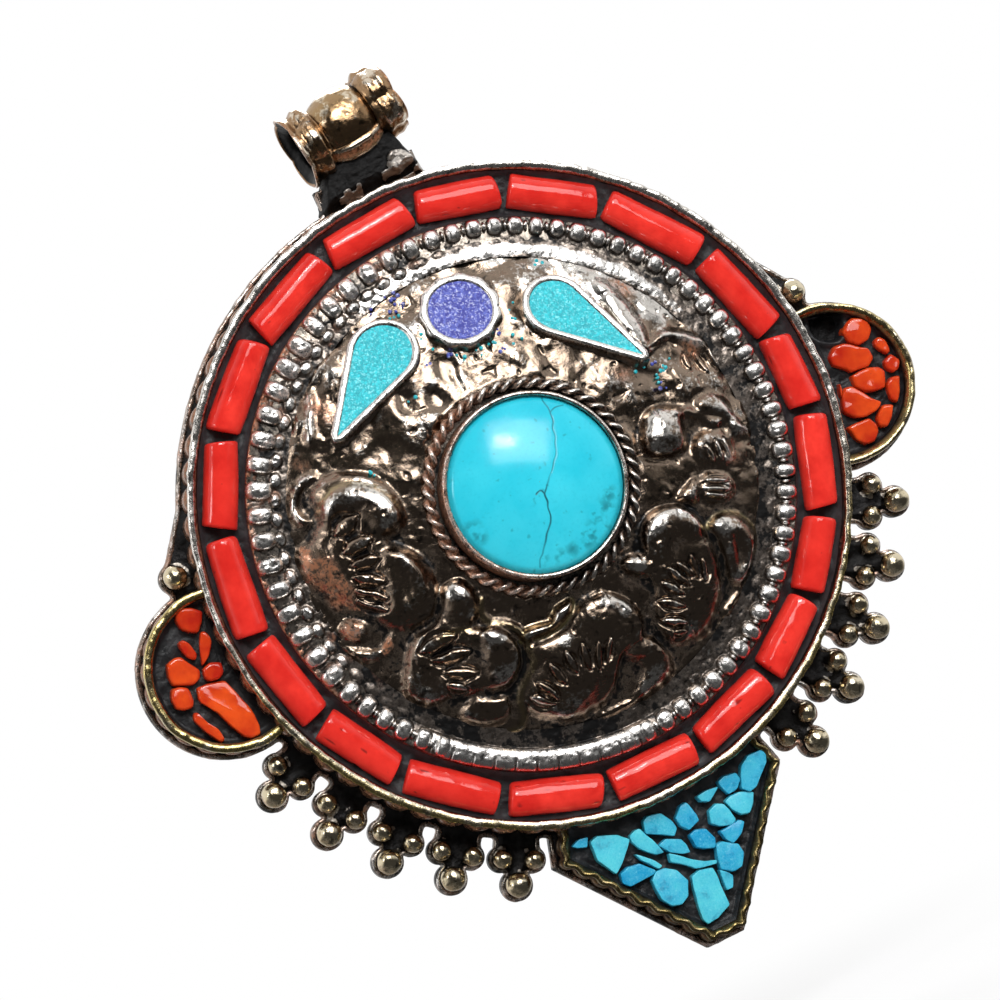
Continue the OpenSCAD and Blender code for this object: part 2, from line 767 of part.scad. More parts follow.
// Saddle: the strip that joins the bulb to the plate's tab
module bail_saddle() {
  color("darkgoldenrod") difference() {
    hang() translate([-saddle_w / 2, tab_top - saddle_lap, plate_t])
      cube([saddle_w, bail_y - tab_top + saddle_lap - bore_r, saddle_t]);
    along_bail() rotate_extrude() bulb_profile(0);
  }
}

// Case wall: the round box behind the plate
module case_wall() {
  color("silver") hang() ring(case_r, case_r - case_wall_t, -case_depth, 0);
}

// Back lid: its plate and the rim that grips the case
module back_lid() {
  color("silver") hang() translate([0, 0, lid_top_z - lid_t]) cylinder(h = lid_t, r = lid_r);
}
module lid_rim() {
  color("gray") hang() ring(lid_rim_r, lid_rim_in_r, lid_top_z, lid_top_z + lid_rim_h);
}

// Prayer packet: the folded paper that the box is worn to carry, tied with a thread
module prayer_packet() {
  color("wheat") hang()
    translate([-packet_w / 2, -packet_w / 2, packet_z]) cube([packet_w, packet_w, packet_t]);
}
module packet_thread() {
  color("crimson") hang() difference() {
    for (turn = [0, 90]) rotate(turn)
      translate([-packet_w / 2 - thread_t, -thread_w / 2, packet_z - thread_t])
        cube([packet_w + 2 * thread_t, thread_w, packet_t + 2 * thread_t]);
    translate([-packet_w / 2, -packet_w / 2, packet_z]) cube([packet_w, packet_w, packet_t]);
  }
}

base_plate();
rim_bezel();
channel_resin();
coral_tubes();
dome();
beaded_ring();
cabochon_cup();
rope_wire();
turquoise_cabochon();
lapis_bezel();
lapis_inlay();
left_teardrop_bezel();
left_teardrop_inlay();
right_teardrop_bezel();
right_teardrop_inlay();
left_ear_bezel();
left_ear_resin();
left_ear_corals();
right_ear_bezel();
right_ear_resin();
right_ear_corals();
triangle_bezel();
triangle_resin();
triangle_turquoise();
left_granules();
right_granules();
bail_tube();
bail_left_collar();
bail_right_collar();
bail_saddle();
case_wall();
back_lid();
lid_rim();
prayer_packet();
packet_thread();
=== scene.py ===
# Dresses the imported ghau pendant: its chased dome, stones, granules and bail, and the light on them.
import itertools
import math

import bmesh
import bpy
import numpy as np
from mathutils import Matrix, Vector

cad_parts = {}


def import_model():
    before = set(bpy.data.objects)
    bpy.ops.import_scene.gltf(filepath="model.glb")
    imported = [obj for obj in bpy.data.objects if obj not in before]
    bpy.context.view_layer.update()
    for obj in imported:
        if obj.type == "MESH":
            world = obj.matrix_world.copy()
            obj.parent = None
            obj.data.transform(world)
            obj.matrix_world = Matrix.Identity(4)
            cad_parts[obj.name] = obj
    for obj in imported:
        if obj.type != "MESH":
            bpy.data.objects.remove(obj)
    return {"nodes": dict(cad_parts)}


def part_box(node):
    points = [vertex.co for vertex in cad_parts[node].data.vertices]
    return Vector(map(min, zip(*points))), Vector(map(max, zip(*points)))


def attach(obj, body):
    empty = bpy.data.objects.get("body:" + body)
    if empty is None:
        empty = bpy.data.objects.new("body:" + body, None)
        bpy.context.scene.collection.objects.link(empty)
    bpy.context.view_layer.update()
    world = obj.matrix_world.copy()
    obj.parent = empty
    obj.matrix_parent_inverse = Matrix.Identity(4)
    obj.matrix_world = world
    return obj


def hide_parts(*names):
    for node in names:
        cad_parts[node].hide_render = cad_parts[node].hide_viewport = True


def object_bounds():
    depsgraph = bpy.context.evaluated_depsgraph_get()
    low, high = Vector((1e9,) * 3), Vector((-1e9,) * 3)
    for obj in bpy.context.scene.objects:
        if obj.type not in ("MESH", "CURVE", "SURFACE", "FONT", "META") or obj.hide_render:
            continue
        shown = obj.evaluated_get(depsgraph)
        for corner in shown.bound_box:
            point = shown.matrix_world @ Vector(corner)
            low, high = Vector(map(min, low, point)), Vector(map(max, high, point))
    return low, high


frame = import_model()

CAD_BOUNDS = [list(corner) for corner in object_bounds()]

# Face coordinates: millimetres to the right (u) and up (v) from the disc's middle,
# and out of the face (w) from the plate's back
MM = 0.001
RIM_LOW, RIM_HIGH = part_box("rim_bezel")
MIDDLE_X = (RIM_LOW.x + RIM_HIGH.x) / 2
MIDDLE_Z = (RIM_LOW.z + RIM_HIGH.z) / 2
BACK_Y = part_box("base_plate")[1].y


def to_frame(points):
    p = np.asarray(points, dtype=float)
    out = np.empty(p.shape)
    out[..., 0] = MIDDLE_X + p[..., 0] * MM
    out[..., 1] = BACK_Y - p[..., 2] * MM
    out[..., 2] = MIDDLE_Z + p[..., 1] * MM
    return out


def to_face(points):
    p = np.asarray(points, dtype=float)
    out = np.empty(p.shape)
    out[..., 0] = (p[..., 0] - MIDDLE_X) / MM
    out[..., 1] = (p[..., 2] - MIDDLE_Z) / MM
    out[..., 2] = (BACK_Y - p[..., 1]) / MM
    return out


def frame_direction(d):
    return Vector((d[0], -d[2], d[1]))


def radius_of(node):
    low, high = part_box(node)
    return (high.x - low.x) / 2 / MM


def heights_of(node):
    low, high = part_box(node)
    return (BACK_Y - high.y) / MM, (BACK_Y - low.y) / MM


def at(r, turn):
    """A place at distance r, turned so many degrees to the left of straight up."""
    a = np.radians(turn)
    return -r * np.sin(a), r * np.cos(a)


# Sizes in millimetres, from the frame and from the part's own few walls and gaps
PLATE_T = heights_of("base_plate")[1]
RIM_TOP = heights_of("rim_bezel")[1]
RIM_OUT_R = radius_of("rim_bezel")
FLUTE_RISE = 0.25
RIM_WALL = 0.65
RIM_R = RIM_OUT_R - FLUTE_RISE
RIM_IN_R = RIM_R - RIM_WALL
FLUTE_PITCH = 1.95
SKIRT_R = radius_of("beaded_ring")
SHOULDER_W, BEAD_TOP = heights_of("beaded_ring")
BEAD_R = 0.65
RING_BAND = 2.548
DOME_R = SKIRT_R - RING_BAND
DOME_RISE = 3.95
SPHERE_R = (DOME_R ** 2 + DOME_RISE ** 2) / (2 * DOME_RISE)
SPHERE_W = SHOULDER_W + DOME_RISE - SPHERE_R
DOME_WALL = 0.55
ROPE_R = 0.475
ROPE_RING_R = radius_of("rope_wire") - ROPE_R
SEAT_LIP = 0.2
SEAT_R = ROPE_RING_R + ROPE_R + SEAT_LIP
CUP_R = radius_of("cabochon_cup")
CUP_WALL = 0.4
SEAT_W, CUP_TOP = heights_of("cabochon_cup")
STONE_R = radius_of("turquoise_cabochon")
STONE_TOP = heights_of("turquoise_cabochon")[1]
CORAL_R = 1.35
CORAL_RING_R = (RIM_IN_R + SKIRT_R) / 2
CORAL_W = heights_of("coral_tubes")[1] - CORAL_R
CORAL_SHARES = (
    1.00, 1.15, 1.05, 0.85, 1.05, 0.85, 0.90, 1.00, 1.00, 1.05,
    1.05, 0.95, 1.00, 1.10, 0.95, 1.05, 1.05, 1.00, 0.95,
)
CORAL_START = -21.8
CORAL_GAP = 0.35
RESIN_W = heights_of("channel_resin")[1]
EAR_R = 6.0
EAR_TURN = 95.6
EAR_OFFSET = 0.6
EAR_MIDDLE_R = RIM_R + EAR_OFFSET
EAR_TOP = heights_of("left_ear_bezel")[1]
CELL_WALL = 0.75
CELL_RESIN_W = heights_of("left_ear_resin")[1]
BED_SAG = 0.35
BED_W = CELL_RESIN_W - BED_SAG
TRIANGLE_TOP = heights_of("triangle_bezel")[1]
TRIANGLE_HALF = 8.9
TIP_HALF = 1.3
TRIANGLE_REACH = 10.8
TRIANGLE_GAP = 0.3
SHOULDER_SHARE = 0.08
TIP_V = -(RIM_R + TRIANGLE_REACH)
SHOULDER_V = -(RIM_R + TRIANGLE_GAP + TRIANGLE_REACH * SHOULDER_SHARE)
BAIL_CANT = 8.4
BAIL_V = -MIDDLE_Z / MM
BAIL_W = BACK_Y / MM
BORE_R = 1.6
BULB_R = 2.65
BULB_L = 4.32
COLLAR_R = 2.9
COLLAR_L = 2.0
TAB_HALF = 3.95

# The photograph's camera: a square picture, its focal length in pixels, its distance, and its turns
PHOTO_SIZE = 1000
FOCAL_PX = 4575
CAMERA_MM = 330
LEAN = math.radians(11.3)
LEAN_TOWARDS = math.radians(33.58)
SPIN = math.radians(25.2)
DISC_PX = (515.0, 498.1)


def camera_axes():
    """The camera's right, up and back directions, in face coordinates."""
    spin = np.array([
        [math.cos(SPIN), -math.sin(SPIN), 0],
        [math.sin(SPIN), math.cos(SPIN), 0],
        [0, 0, 1],
    ])
    x = -math.sin(LEAN_TOWARDS)
    y = math.cos(LEAN_TOWARDS)
    cross = np.array([[0, 0, y], [0, 0, -x], [-y, x, 0]])
    lean = np.eye(3) + math.sin(LEAN) * cross + (1 - math.cos(LEAN)) * cross @ cross
    return lean @ spin


AXES = camera_axes()


def from_photo(pixels, height):
    """Where pixels of the photograph meet the level at a height above the plate's back."""
    px = np.atleast_2d(np.asarray(pixels, dtype=float))
    rays = np.stack([
        (px[:, 0] - DISC_PX[0]) / FOCAL_PX,
        -(px[:, 1] - DISC_PX[1]) / FOCAL_PX,
        -np.ones(len(px)),
    ], axis=1)
    eye = np.array([0, 0, CAMERA_MM])
    normal = AXES[:, 2]
    reach = (height - eye @ normal) / (rays @ normal)
    return ((eye + reach[:, None] * rays) @ AXES)[:, :2]


def dome_w(r):
    return SPHERE_W + np.sqrt(SPHERE_R ** 2 - np.minimum(r, SPHERE_R) ** 2)


RELIEF_MEAN = 0.5
DOME_ROUNDS = 5


def on_dome(pixels):
    """Where pixels of the photograph meet the dome, found in a few rounds."""
    uv = from_photo(pixels, SEAT_W)
    for _ in range(DOME_ROUNDS):
        uv = from_photo(pixels, dome_w(np.hypot(uv[:, 0], uv[:, 1])) + RELIEF_MEAN)
    return uv


def make_camera():
    data = bpy.data.cameras.new("camera")
    data.sensor_width = 36
    data.lens = FOCAL_PX / PHOTO_SIZE * data.sensor_width
    data.shift_x = 0.5 - DISC_PX[0] / PHOTO_SIZE
    data.shift_y = DISC_PX[1] / PHOTO_SIZE - 0.5
    data.clip_start = 0.01
    camera = bpy.data.objects.new("camera", data)
    turn = Matrix([frame_direction(axis) for axis in AXES]).transposed().to_4x4()
    place = Vector(to_frame(AXES[2] * CAMERA_MM))
    camera.matrix_world = Matrix.Translation(place) @ turn
    bpy.context.scene.collection.objects.link(camera)
    bpy.context.scene.camera = camera


# Smooth noise and small maths

AXIS_PRIMES = (73856093, 19349663, 83492791)
SEED_PRIME = 2654435761
MIXING = ((13, 1274126177), (16, 1911520717))
HASH_TOP = 0x7FFFFFFF


def corner_noise(cells, seed):
    """An even spread of numbers from -1 to 1, one for each cell of a grid."""
    h = seed * SEED_PRIME
    for axis, prime in enumerate(AXIS_PRIMES):
        h = h ^ (cells[..., axis].astype(np.int64) * prime)
    for shift, factor in MIXING:
        h = (h ^ (h >> shift)) * factor & HASH_TOP
    return h / HASH_TOP * 2 - 1


def lumps(points, size, seed=0):
    """Smooth noise from -1 to 1, with lumps about one size across."""
    q = np.asarray(points, dtype=float) / size
    cell = np.floor(q)
    f = q - cell
    f = f * f * (3 - 2 * f)
    total = 0
    for corner in itertools.product((0, 1), repeat=3):
        c = np.array(corner)
        weight = np.prod(np.where(c == 1, f, 1 - f), axis=-1)
        total = total + weight * corner_noise(cell + c, seed)
    return total


OCTAVES = 3
RIPPLE_REACH = 1.4


def ripples(points, size, seed=0):
    """Noise from about -1 to 1, with finer lumps on the broad ones."""
    total = sum(lumps(points, size / 2 ** i, seed + i) / 2 ** i for i in range(OCTAVES))
    return total / RIPPLE_REACH


def raised(u, v, w):
    """Points above places of the face, at one height or at a height for each."""
    return np.stack([u, v, np.broadcast_to(w, u.shape)], axis=-1)


def flat(u, v):
    """Places on the face as points for the noise."""
    return raised(u, v, 0.0)


def listed(u, v):
    return np.stack([u.ravel(), v.ravel()], axis=1)


def step_up(x, low, high):
    t = np.clip((x - low) / (high - low), 0, 1)
    return t * t * (3 - 2 * t)


def hump(x, width):
    """One at x = 0, falling smoothly to nothing at a width to either side."""
    t = np.clip(1 - (x / width) ** 2, 0, 1)
    return t * t


def roundover(depth, edge):
    """A quarter-round edge: 0 at its foot and 1 from a distance edge inwards."""
    t = np.clip(depth / edge, 0, 1)
    return np.sqrt(1 - (1 - t) ** 2)


def smooth_line(points, closed=False, steps=8):
    """A smooth line through the points."""
    p = np.asarray(points, dtype=float)
    n = len(p)
    out = []
    for i in range(n if closed else n - 1):
        near = np.arange(i - 1, i + 3)
        a, b, c, d = p[near % n if closed else np.clip(near, 0, n - 1)]
        for t in np.arange(steps) / steps:
            out.append(0.5 * (2 * b + (c - a) * t + (2 * a - 5 * b + 4 * c - d) * t * t
                              + (3 * b - a - 3 * c + d) * t ** 3))
    if not closed:
        out.append(p[-1])
    return np.array(out)


def eased(line, rounds):
    """A closed line with its corners softened."""
    for _ in range(rounds):
        line = 0.5 * line + 0.25 * (np.roll(line, 1, axis=0) + np.roll(line, -1, axis=0))
    return line


def run_along(line):
    """How far along a line each of its points is."""
    return np.concatenate([[0], np.cumsum(np.hypot(*np.diff(line, axis=0).T))])


def unit_circle(a):
    return np.stack([np.cos(a), np.sin(a)], axis=1)


def line_distance(places, line, closed=False):
    """Distance from each place to a line, and how far along the line it is, from 0 to 1."""
    ends = np.roll(line, -1, axis=0) if closed else line[1:]
    starts = line if closed else line[:-1]
    best = np.full(len(places), 1e9)
    along = np.zeros(len(places))
    for i, (a, b) in enumerate(zip(starts, ends)):
        side = b - a
        t = np.clip((places - a) @ side / max(side @ side, 1e-12), 0, 1)
        d = np.hypot(*(places - a - t[:, None] * side).T)
        near = d < best
        best[near] = d[near]
        along[near] = (i + t[near]) / len(starts)
    return best, along


def depth_inside(places, outline):
    """Distance inwards from a closed outline, less than nothing outside it."""
    d, _ = line_distance(places, outline, closed=True)
    inside = np.zeros(len(places), dtype=bool)
    x, y = places.T
    for a, b in zip(outline, np.roll(outline, -1, axis=0)):
        crosses = (a[1] > y) != (b[1] > y)
        level = b[1] - a[1] if b[1] != a[1] else 1e-12
        inside ^= crosses & (x < a[0] + (y - a[1]) / level * (b[0] - a[0]))
    return np.where(inside, d, -d)


# Meshes

class Form:
    """Collects surfaces into one mesh, with named values at each point for the materials."""

    def __init__(self):
        self.points = []
        self.faces = []
        self.marks = {}
        self.count = 0

    def add(self, points, faces, **marks):
        p = np.asarray(points, dtype=float).reshape(-1, 3)
        for name in {**self.marks, **marks}:
            filled = np.broadcast_to(np.ravel(marks.get(name, 0.0)), len(p))
            self.marks.setdefault(name, [np.zeros(self.count)]).append(filled)
        self.points.append(p)
        self.faces.extend((np.asarray(faces) + self.count).tolist())
        self.count += len(p)

    def grid(self, points, close_rows=False, close_columns=False, **marks):
        """Adds a sheet of rows of points. A mark is one value, or an array that spreads over the sheet."""
        shape = points.shape[:2]
        spread_marks = {name: np.broadcast_to(value, shape) for name, value in marks.items()}
        self.add(points, grid_faces(*shape, close_rows, close_columns), **spread_marks)

    def object(self, name, material, outward=True):
        """Makes the piece, its faces turned outwards, or towards the viewer for an open sheet."""
        mesh = bpy.data.meshes.new(name)
        mesh.from_pydata(to_frame(np.concatenate(self.points)).tolist(), [], self.faces)
        for key, parts in self.marks.items():
            data = mesh.attributes.new(key, "FLOAT", "POINT")
            data.data.foreach_set("value", np.concatenate(parts).astype(np.float32))
        if outward:
            work = bmesh.new()
            work.from_mesh(mesh)
            bmesh.ops.recalc_face_normals(work, faces=work.faces)
            work.to_mesh(mesh)
            work.free()
        else:
            face_viewer(mesh)
        mesh.polygons.foreach_set("use_smooth", [True] * len(mesh.polygons))
        mesh.update()
        piece = bpy.data.objects.new(name, mesh)
        bpy.context.scene.collection.objects.link(piece)
        piece.data.materials.append(material)
        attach(piece, "ghau")
        return piece


def grid_faces(rows, columns, close_rows=False, close_columns=False):
    r = np.arange(rows if close_rows else rows - 1)[:, None]
    c = np.arange(columns if close_columns else columns - 1)[None, :]
    r_next = (r + 1) % rows
    c_next = (c + 1) % columns
    corners = [r * columns + c, r * columns + c_next, r_next * columns + c_next, r_next * columns + c]
    return np.stack(corners, axis=-1).reshape(-1, 4)


def face_viewer(mesh):
    """Turns an open sheet's faces to the front, which is -Y in the frame."""
    normals = np.zeros(len(mesh.polygons) * 3)
    mesh.polygons.foreach_get("normal", normals)
    if normals.reshape(-1, 3)[:, 1].sum() > 0:
        mesh.flip_normals()


def all_round(steps):
    """Evenly spaced turns round the disc, in degrees."""
    return np.arange(steps) * 360 / steps


def angles(count):
    """Evenly spaced angles all round, in radians."""
    return np.arange(count) * 2 * np.pi / count


def ring_places(turn, r):
    """The u and v of a grid of places: at distances r, on each of the turns."""
    x, y = at(1, turn)
    return x[:, None] * r, y[:, None] * r


def ring_points(turn, r, w):
    return raised(*ring_places(turn, r), w)


def columns(rows, count):
    """Turns rows of values, single or one for each of count steps, into one grid for each column."""
    return [np.stack([np.broadcast_to(value, count) for value in column], axis=1) for column in zip(*rows)]


def sweep(path, out, w, closed=True):
    """Points of a wall that follows a path, from how far outwards and how high its section's points lie."""
    if closed:
        ahead = np.roll(path, -1, axis=0) - np.roll(path, 1, axis=0)
    else:
        ahead = np.gradient(path, axis=0)
    ahead /= np.maximum(np.hypot(*ahead.T), 1e-9)[:, None]
    outward = np.stack([ahead[:, 1], -ahead[:, 0]], axis=1)
    places = path[:, None, :] + outward[:, None, :] * np.atleast_2d(out)[..., None]
    return raised(places[..., 0], places[..., 1], w)


def resample(line, step, closed=True):
    """The same line with evenly spaced points."""
    ring = np.vstack([line, line[:1]]) if closed else line
    run = run_along(ring)
    count = max(8, int(run[-1] / step))
    s = np.linspace(0, run[-1], count, endpoint=not closed)
    return np.stack([np.interp(s, run, ring[:, i]) for i in (0, 1)], axis=1)


def welded(node_name):
    """A CAD node's mesh with its points joined."""
    work = bmesh.new()
    work.from_mesh(frame["nodes"][node_name].data)
    bmesh.ops.remove_doubles(work, verts=work.verts, dist=1e-7)
    return work


def loose_parts(node_name):
    """The separate solids of a CAD node, each as its corner points in face coordinates."""
    work = welded(node_name)
    left = set(work.verts)
    parts = []
    for start in list(work.verts):
        if start not in left:
            continue
        left.discard(start)
        group, queue = [start], [start]
        while queue:
            for edge in queue.pop().link_edges:
                for vert in edge.verts:
                    if vert in left:
                        left.discard(vert)
                        group.append(vert)
                        queue.append(vert)
        parts.append(to_face([v.co for v in group]))
    work.free()
    parts.sort(key=lambda p: tuple(np.round(p.mean(axis=0), 4)))
    return parts


# Materials

NOISE_LOW = 0.3
NOISE_HIGH = 0.7


def new_material(name):
    material = bpy.data.materials.new(name)
    material.use_nodes = True
    tree = material.node_tree
    tree.nodes.clear()
    output = tree.nodes.new("ShaderNodeOutputMaterial")
    shader = tree.nodes.new("ShaderNodeBsdfPrincipled")
    tree.links.new(shader.outputs[0], output.inputs["Surface"])
    return material, tree, shader


def node(tree, kind, inputs=None, **settings):
    made = tree.nodes.new("ShaderNode" + kind)
    for key, value in settings.items():
        setattr(made, key, value)
    for key, value in (inputs or {}).items():
        if isinstance(value, bpy.types.NodeSocket):
            tree.links.new(value, made.inputs[key])
        else:
            made.inputs[key].default_value = value
    return made


def patterned(name):
    """A new material, with its object coordinates in millimetres for patterns."""
    material, tree, shader = new_material(name)
    place = node(tree, "TexCoord").outputs["Object"]
    place = node(tree, "VectorMath", {0: place, 3: 1 / MM}, operation="SCALE").outputs[0]
    return material, tree, shader, place


def grain(tree, place, size, detail=3.0, rough=0.55, warp=0.0):
    return node(tree, "TexNoise", {
        "Vector": place, "Scale": 1 / size, "Detail": detail, "Roughness": rough, "Distortion": warp,
    }).outputs["Fac"]


def scaled(tree, place, stretch):
    return node(tree, "VectorMath", {0: place, 1: stretch}, operation="MULTIPLY").outputs[0]


def spread(tree, value, low, high, to_low=0.0, to_high=1.0):
    return node(tree, "MapRange", {
        "Value": value, "From Min": low, "From Max": high, "To Min": to_low, "To Max": to_high,
    }).outputs[0]


def over_noise(tree, value, to_low, to_high):
    """Noise spread from one value to another, by the range that it mostly keeps to."""
    return spread(tree, value, NOISE_LOW, NOISE_HIGH, to_low, to_high)


# The Mix node's sockets go by number, since their names repeat: 2 and 3 take values, 6 and 7 take colours

def blend(tree, share, a, b):
    return node(tree, "Mix", {0: share, 6: a, 7: b}, data_type="RGBA").outputs[2]


def blend_value(tree, share, a, b):
    return node(tree, "Mix", {0: share, 2: a, 3: b}, data_type="FLOAT").outputs[0]


def maths(tree, operation, a, b):
    return node(tree, "Math", {0: a, 1: b}, operation=operation).outputs[0]


def plus(tree, a, b):
    return maths(tree, "ADD", a, b)


def times(tree, a, b):
    return maths(tree, "MULTIPLY", a, b)


def mark(tree, name):
    return node(tree, "Attribute", attribute_name=name).outputs["Fac"]


def bump(tree, height, depth):
    """A bump whose height of 1 is so many millimetres deep."""
    return node(tree, "Bump", {"Height": height, "Distance": depth * MM}).outputs[0]


def colour(r, g, b):
    return (r, g, b, 1.0)


def set_shader(tree, shader, **values):
    names = {
        "base": "Base Color", "metallic": "Metallic", "rough": "Roughness", "normal": "Normal",
        "level": "Specular IOR Level", "sheen": "Sheen Weight", "subsurface": "Subsurface Weight",
        "radius": "Subsurface Radius", "scale": "Subsurface Scale",
    }
    for key, value in values.items():
        socket = shader.inputs[names[key]]
        if isinstance(value, bpy.types.NodeSocket):
            tree.links.new(value, socket)
        else:
            socket.default_value = value


BLACK = colour(0.008, 0.0075, 0.0075)
SILVER = colour(0.74, 0.70, 0.65)
BRASS = colour(0.56, 0.44, 0.17)
OLIVE = colour(0.17, 0.125, 0.050)
COPPER = colour(0.40, 0.165, 0.085)
BRONZE = colour(0.27, 0.205, 0.155)


def patinated(name, middle, high, shine, grit=0.03, low_at=0.30, high_at=0.74):
    """Metal that is black in its hollows and rubbed bright on its crests, as its marks say.
    On some pieces the same mark also carries painted highlights and painted shade.

    It turns from black to the middle colour where that mark reaches low_at, and to the high one by high_at.
    """
    material, tree, shader, place = patterned(name)
    cloud = grain(tree, place, 1.5, detail=5, rough=0.62)
    fine = grain(tree, place, 0.30, detail=4, rough=0.68)
    worn = plus(tree, mark(tree, "worn"), spread(tree, cloud, 0.28, 0.72, -0.24, 0.24))
    worn = plus(tree, worn, over_noise(tree, fine, -0.16, 0.16))
    base = blend(tree, spread(tree, worn, low_at - 0.14, low_at + 0.10), BLACK, middle)
    base = blend(tree, spread(tree, worn, high_at - 0.07, high_at + 0.10), base, high)
    warm = times(tree, mark(tree, "warm"), spread(tree, fine, 0.40, 0.56, 0.15, 1.0))
    base = blend(tree, warm, base, COPPER)
    gold = times(tree, mark(tree, "gold"), spread(tree, cloud, 0.34, 0.52, 0.35, 1.0))
    base = blend(tree, gold, base, BRASS)
    soot = grain(tree, place, 0.7, detail=5, rough=0.7, warp=0.6)
    base = blend(tree, spread(tree, soot, 0.56, 0.66, 0.0, 0.75), base, BLACK)
    dull = spread(tree, worn, low_at - 0.2, low_at + 0.1, shine + 0.20, shine)
    dull = plus(tree, dull, over_noise(tree, fine, -0.06, 0.12))
    metal = spread(tree, worn, low_at - 0.16, low_at + 0.1, 0.6, 1.0)
    metal = maths(tree, "SUBTRACT", metal, times(tree, warm, 0.55))
    scratch = grain(tree, scaled(tree, place, (1.0, 1.0, 5.0)), 0.35, detail=2)
    height = plus(tree, times(tree, fine, 0.7), times(tree, scratch, 0.3))
    set_shader(tree, shader, base=base, metallic=metal, rough=dull, normal=bump(tree, height, grit))
    return material


FINE_BUMP = 0.012


def aged_sheet(name, bright, dark, shine, dent=0.05):
    """Plain sheet metal with tarnish, hammer marks and scratches, for pieces without marks of their own."""
    material, tree, shader, place = patterned(name)
    cloud = grain(tree, place, 5.0, detail=6, rough=0.6)
    fine = grain(tree, place, 0.3, detail=3)
    streak = grain(tree, scaled(tree, place, (0.25, 1.0, 3.0)), 0.5, detail=3)
    base = blend(tree, spread(tree, cloud, 0.40, 0.66), bright, dark)
    base = blend(tree, spread(tree, streak, 0.56, 0.75, 0.0, 0.5), base, BLACK)
    dull = spread(tree, cloud, 0.35, 0.7, shine, shine + 0.2)
    dull = plus(tree, dull, over_noise(tree, fine, -0.05, 0.08))
    dents = {"Vector": place, "Scale": 0.55, "Smoothness": 0.6}
    hammer = node(tree, "TexVoronoi", dents, feature="SMOOTH_F1")
    marks = bump(tree, hammer.outputs["Distance"], dent)
    normal = node(tree, "Bump", {"Height": fine, "Distance": FINE_BUMP * MM, "Normal": marks}).outputs[0]
    set_shader(tree, shader, base=base, metallic=1.0, rough=dull, normal=normal)
    return material


def resin_material():
    material, tree, shader, place = patterned("black_resin")
    cloud = grain(tree, place, 1.4, detail=5)
    fine = grain(tree, place, 0.18, detail=4, rough=0.7)
    rubbed = plus(tree, cloud, times(tree, mark(tree, "worn"), 0.5))
    lift = spread(tree, rubbed, 0.45, 0.85)
    base = blend(tree, lift, colour(0.006, 0.006, 0.007), colour(0.034, 0.033, 0.035))
    dull = over_noise(tree, fine, 0.28, 0.55)
    height = plus(tree, times(tree, cloud, 1.2), times(tree, fine, 0.4))
    set_shader(tree, shader, base=base, rough=dull, normal=bump(tree, height, 0.10), level=0.35)
    return material


CORAL_SPOTS = 0.30


def coral_material(name, light, deep, clear=0.0):
    """Glossy coral: its shade varies from stone to stone, with streaks, pits and scratches."""
    material, tree, shader, place = patterned(name)
    cloud = grain(tree, place, 1.8, detail=3)
    fine = grain(tree, place, 0.16, detail=3, rough=0.6)
    base = blend(tree, spread(tree, cloud, 0.32, 0.68), light, deep)
    base = blend(tree, spread(tree, mark(tree, "shade"), 0.0, 1.0, 0.0, 0.45), base, deep)
    pitted = spread(tree, mark(tree, "pit"), 0.35, 0.9, 0.0, 0.7)
    base = blend(tree, pitted, base, colour(0.06, 0.010, 0.010))
    pits = node(tree, "TexVoronoi", {"Vector": place, "Scale": 0.9}).outputs["Distance"]
    spots = spread(tree, pits, 0.07, 0.03)
    base = blend(tree, times(tree, spots, CORAL_SPOTS), base, colour(0.10, 0.010, 0.010))
    dull = over_noise(tree, fine, 0.03, 0.10)
    height = plus(tree, times(tree, fine, 0.12), times(tree, cloud, 0.8))
    set_shader(tree, shader, base=base, rough=dull, normal=bump(tree, height, 0.03), level=0.45)
    if clear:
        set_shader(tree, shader, subsurface=clear, radius=(1.0, 0.25, 0.08), scale=0.8 * MM)
    return material


def cabochon_material():
    material, tree, shader, place = patterned("sky_turquoise")
    cloud = grain(tree, place, 3.2, detail=4)
    fine = grain(tree, place, 0.22, detail=3)
    clouded = over_noise(tree, cloud, 0.0, 1.0)
    base = blend(tree, clouded, colour(0.014, 0.47, 0.61), colour(0.040, 0.55, 0.68))
    base = blend(tree, spread(tree, fine, 0.52, 0.80, 0.0, 0.35), base, colour(0.010, 0.37, 0.50))
    base = blend(tree, mark(tree, "smudge"), base, colour(0.012, 0.20, 0.24))
    base = blend(tree, mark(tree, "crack"), base, colour(0.012, 0.075, 0.095))
    dull = over_noise(tree, fine, 0.13, 0.22)
    set_shader(tree, shader, base=base, rough=dull, normal=bump(tree, cloud, 0.03), level=0.4)
    set_shader(tree, shader, subsurface=0.06, radius=(0.2, 0.8, 1.0), scale=0.4 * MM)
    return material


